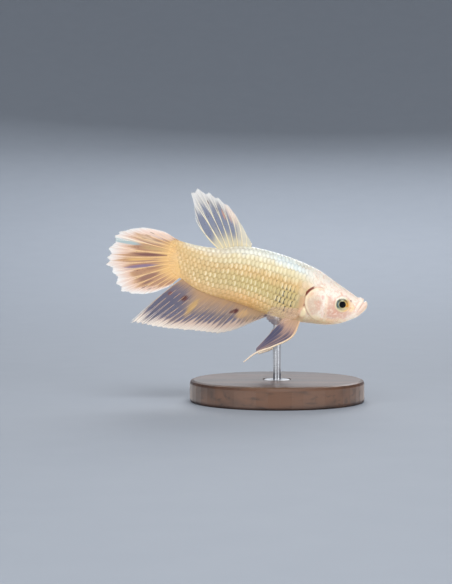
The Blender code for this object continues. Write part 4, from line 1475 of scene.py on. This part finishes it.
# %% Colours of each fin
TAIL_RAYS = ray_material("tail rays", (234, 196, 136), (238, 206, 158), (246, 242, 240))
ANAL_RAYS = ray_material("anal rays", (204, 160, 108), (200, 172, 148), (244, 236, 226))
DORSAL_RAYS = ray_material("dorsal rays", (236, 220, 176), (244, 234, 208), (236, 234, 230))
RAY_PALE = ray_material("pale rays", (206, 168, 138), (190, 162, 150), (190, 170, 164))
RAY_CLEAR = ray_material("clear rays", (226, 192, 162), (210, 184, 164), (180, 164, 160), 0.2)
SPOT_RED = (84, 24, 20)
membranes = {
    "caudal_fin": membrane_material(
        "tail membrane",
        tints=(TAIL_GOLD, (204, 160, 116), (228, 194, 174), (236, 238, 238)),
        clearness=(0.98, 0.94, 0.95),
        flames=(0.62, 0.20, 0.93, 0.0),
        gaps=((160, 116, 100), 0.85, 0.55, 0.20, 0.26, 0.68),
        streak=((172, 122, 88), 0.70),
        marks=[
            (2.4, 0.62, 2.6, 0.44, (246, 222, 210), 0.75),
            (4.9, 0.46, 0.9, 0.34, (232, 204, 168), 0.60),
            (6.45, 0.34, 0.36, 0.26, (198, 172, 116), 0.50),
            (6.28, 0.76, 0.33, 0.28, (160, 188, 194), 0.85),
            (5.95, 0.62, 0.10, 0.38, (250, 244, 232), 0.9),
            (7.50, 0.32, 0.36, 0.36, (122, 80, 74), 0.95),
            (8.35, 0.48, 0.30, 0.28, (232, 190, 118), 0.7),
            (10.2, 0.28, 0.45, 0.20, (156, 114, 92), 0.6),
            (9.72, 0.52, 0.40, 0.32, (122, 108, 146), 0.80),
            (11.5, 0.44, 0.70, 0.24, (142, 102, 90), 0.75),
            (12.4, 0.52, 0.28, 0.14, (136, 100, 92), 0.8),
            (13.0, 0.68, 0.24, 0.11, (140, 104, 100), 0.8),
            (13.8, 0.74, 0.22, 0.08, (140, 104, 100), 0.75),
            (14.1, 0.66, 0.20, 0.09, (146, 108, 98), 0.7),
            (3.2, 0.69, 0.18, 0.08, (140, 100, 84), 0.7),
            (4.05, 0.62, 0.20, 0.09, (140, 100, 84), 0.75),
            (4.9, 0.57, 0.18, 0.08, (150, 112, 92), 0.65),
            (4.5, 0.37, 0.26, 0.12, (150, 112, 92), 0.6),
        ],
    ),
    "anal_fin": membrane_material(
        "anal membrane",
        tints=((186, 146, 102), (154, 132, 116), (212, 186, 170), (234, 226, 216)),
        clearness=(0.95, 0.84, 0.95),
        flames=(0.48, 0.28, 0.93, 0.009),
        gaps=((90, 86, 116), 0.62, 0.85, 0.12, 0.40, 0.90),
        streak=((112, 104, 120), 0.55),
        marks=[
            (3.0, 0.36, 3.4, 0.46, (204, 166, 118), 0.65),
            (5.8, 0.32, 1.5, 0.24, (216, 174, 116), 0.75),
            (21.2, 0.50, 3.4, 0.52, (86, 86, 112), 0.82),
            (7.8, 0.26, 0.85, 0.10, SPOT_RED, 1.0),
            (8.5, 0.30, 0.45, 0.06, SPOT_RED, 0.8),
            (19.8, 0.29, 0.60, 0.09, SPOT_RED, 0.95),
            (22.2, 0.37, 0.40, 0.05, (120, 60, 56), 0.8),
            (17.2, 0.36, 0.75, 0.28, (206, 166, 98), 0.75, 0.46),
        ],
    ),
    "dorsal_fin": membrane_material(
        "dorsal membrane",
        tints=((218, 208, 178), (182, 178, 168), (200, 198, 196), (240, 239, 238)),
        clearness=(0.94, 0.74, 0.80),
        flames=(0.66, 0.25, 0.80, 0.0),
        gaps=((116, 124, 152), 0.55, 0.90, 0.10, 0.26, 0.82),
        streak=((150, 148, 150), 0.5),
        marks=[
            (0.8, 0.45, 2.0, 0.80, (228, 222, 200), 0.85),
            (1.9, 0.62, 1.5, 0.56, (224, 216, 198), 0.60),
            (2.9, 0.75, 1.1, 0.30, (238, 216, 200), 0.75),
            (4.3, 0.62, 0.20, 0.14, (214, 150, 116), 0.85),
            (3.4, 0.60, 0.12, 0.12, (222, 160, 126), 0.7),
            (4.9, 0.68, 0.12, 0.05, (90, 62, 66), 0.9),
            (5.7, 0.78, 0.10, 0.05, (110, 74, 70), 0.8),
        ],
    ),
    "pelvic_fin": membrane_material(
        "pelvic membrane",
        tints=((214, 176, 142), (196, 160, 142), (170, 146, 150), (206, 186, 176)),
        clearness=(0.95, 0.80, 0.75),
        flames=(1.5, 0.1, 0.7, 0.0),
        gaps=((68, 74, 108), 0.76, 0.80, 0.12, 0.30, 1.3),
        streak=((124, 110, 130), 0.75),
        marks=[
            (4.6, 0.50, 2.0, 0.40, (70, 76, 110), 0.80),
            (3.3, 0.72, 1.6, 0.34, (86, 84, 118), 0.7),
        ],
    ),
    "pectoral_fin": membrane_material(
        "pectoral membrane",
        tints=((244, 216, 186), (230, 198, 170), (150, 138, 140), (150, 138, 140)),
        clearness=(0.12, 0.18, 0.55),
        flames=(0.85, 0.1, 0.28, 0.0),
        gaps=((140, 126, 130), 0.12, 0.4, 0.20, 0.50, 0.9),
        streak=((200, 160, 138), 0.4),
        marks=[(6.6, 0.92, 3.4, 0.34, (84, 80, 94), 0.75)],
    ),
}

# %% Make the fins
BUILDS = {  # thickness of the membrane and its steps, thickness of the rays, whether they fork, and finish
    "dorsal_fin": ((0.14, 0.05), (12, 60), (0.34, 0.22), True, DORSAL_RAYS),
    "anal_fin": ((0.14, 0.05), (12, 60), (0.16, 0.165), True, ANAL_RAYS),
    "caudal_fin": ((0.14, 0.05), (12, 60), (0.26, 0.18), True, TAIL_RAYS),
    "pectoral_fin": ((0.05, 0.04), (8, 30), (0.08, 0.04), True, RAY_CLEAR),
    "pelvic_fin": ((0.14, 0.06), (10, 60), (0.12, 0.06), False, RAY_PALE),
}


def whole_fin(node, fin_name, side):
    """A fin of one membrane and its rays, in the place of its solid."""
    rays, notch = FINS[fin_name]["rays"], FINS[fin_name]["notch"]
    thick, steps, ray_thick, forked, ray_finish = BUILDS[fin_name]
    sheet = face_outwards(fin_membrane(node + "_sheet", fin_name, side, rays, notch, thick, steps))
    sheet.data.materials.append(membranes[fin_name])
    spacing = mean_spacing(fin_name, side, rays)
    blank = ray_blank("ray_blank", spacing, ray_thick, forked, notch)
    carrier = ray_carrier("ray_carrier", fin_name, side, rays)
    settings = {
        "Blank": blank, "Columns": rays, "Rows": 1, "First Column": RAY_CHART_START[0], "Seed": 5,
        "Chart Columns": float(rays + RAY_CHART[0]), "Chart Rows": RAY_CHART[1],
        "Chart Middle": RAY_CHART_START[1], "Finish": ray_finish,
    }
    lines = face_outwards(laid_copies(node + "_rays", carrier, settings))
    bpy.data.objects.remove(blank)
    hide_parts(node)
    for piece in (sheet, lines):
        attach(piece, "root")
    print(node, "faces:", len(sheet.data.polygons), "rays:", len(lines.data.polygons), "spacing:", spacing)


for node in ("dorsal_fin", "anal_fin", "caudal_fin"):
    whole_fin(node, node, 1)
for word, side in SIDES.items():
    for fin_name in ("pectoral_fin", "pelvic_fin"):
        whole_fin(f"{fin_name}_{word}", fin_name, side)

# %% [markdown]
# A pelvic fin's first ray is thick and cream, and runs on past the blade as a thin curved filament. It
# is a tube that tapers along the fin's leading line.

# %% Leading rays of the pelvic fins
def swept_tube(name, centres, radii, sides=12):
    """A closed round tube along level centres, with a radius for each."""
    ahead = np.gradient(centres, axis=0)
    ahead /= np.linalg.norm(ahead, axis=1, keepdims=True)
    beside = np.cross(ahead, (0.0, 1.0, 0.0))
    beside /= np.linalg.norm(beside, axis=1, keepdims=True)
    above = np.cross(beside, ahead)
    turn = ring_of(sides)[:, None]
    ring = beside[:, None] * np.cos(turn) + above[:, None] * np.sin(turn)
    places = centres[:, None] + ring * radii[:, None, None]
    level = np.concatenate((places.reshape(-1, 3), centres[[0, -1]]))
    along = np.concatenate((np.repeat(np.linspace(0, 1, len(centres)), sides), (0.0, 1.0)))
    local = np.stack((np.full_like(along, 0.5), along, np.zeros_like(along)), axis=-1)
    return face_outwards(add_mesh(name, in_model(level), tube_faces(len(centres), sides), {"Local": local}))


LEADING = ray_material("leading ray", (234, 196, 158), (250, 230, 202), (248, 230, 208))
LEADING_ENDS = {"right": 1.0, "left": 0.72}
for word, side in SIDES.items():
    share = np.linspace(0.0, LEADING_ENDS[word], 90)
    flat = along_line(PELVIC_LEADING, share) + pelvic_drop(share, side)
    centres = np.stack((flat[:, 0], pelvic_splay(share, side), flat[:, 1]), axis=-1)
    radii = 0.25 - 0.06 * share - 0.06 * rise(share, 0.8, 1.0)
    edge_ray = swept_tube(f"pelvic_fin_{word}_edge", centres, radii)
    edge_ray.data.materials.append(LEADING)
    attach(edge_ray, "root")
    print(edge_ray.name, "faces:", len(edge_ray.data.polygons))

# %% [markdown]
# ## The stand
# The fish is held as a small museum mount is: a turned disc of dark stained wood and one slim steel
# rod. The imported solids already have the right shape, so they only get their finish: fine grain
# that follows the wood's length, and brushing round the rod.

# %% Wood and steel
def stretched(bench, *scale):
    """Object places, stretched for grain or brushing."""
    spot = bench.node("ShaderNodeTexCoord", {}, {}, "Object")
    return bench.node("ShaderNodeMapping", {}, {"Vector": spot, "Scale": scale})


wood, bench = new_material("dark stained wood")
grain = bench.noise(stretched(bench, 60.0, 700.0, 700.0), 1.0, 4.0, "Fac", Distortion=0.6)
rings = bench.noise(stretched(bench, 18.0, 160.0, 160.0), 1.0, 2.0)
coats = Coats(bench, (62, 40, 28))
coats.lay(rings.rise(0.35, 0.65), (96, 64, 44))
coats.lay(grain.rise(0.5, 0.75) * 0.7, (38, 24, 18))
finish_surface(
    bench, Base_Color=coats.colour, Roughness=0.42 + 0.1 * grain, Normal=bench.bump(grain, 0.2, 0.0001),
    Coat_Weight=0.3, Coat_Roughness=0.25,
)
steel, bench = new_material("brushed steel")
brushed = bench.noise(stretched(bench, 300.0, 300.0, 9000.0), 1.0, 2.0)
tint = bench.mixed(brushed, (168, 170, 174), (204, 206, 210))
finish_surface(bench, Base_Color=tint, Metallic=1.0, Roughness=0.22 + 0.16 * brushed)
for node, finish in (("stand_base", wood), ("stand_rod", steel)):
    solid = frame["nodes"][node]
    solid.data.materials.clear()
    solid.data.materials.append(finish)
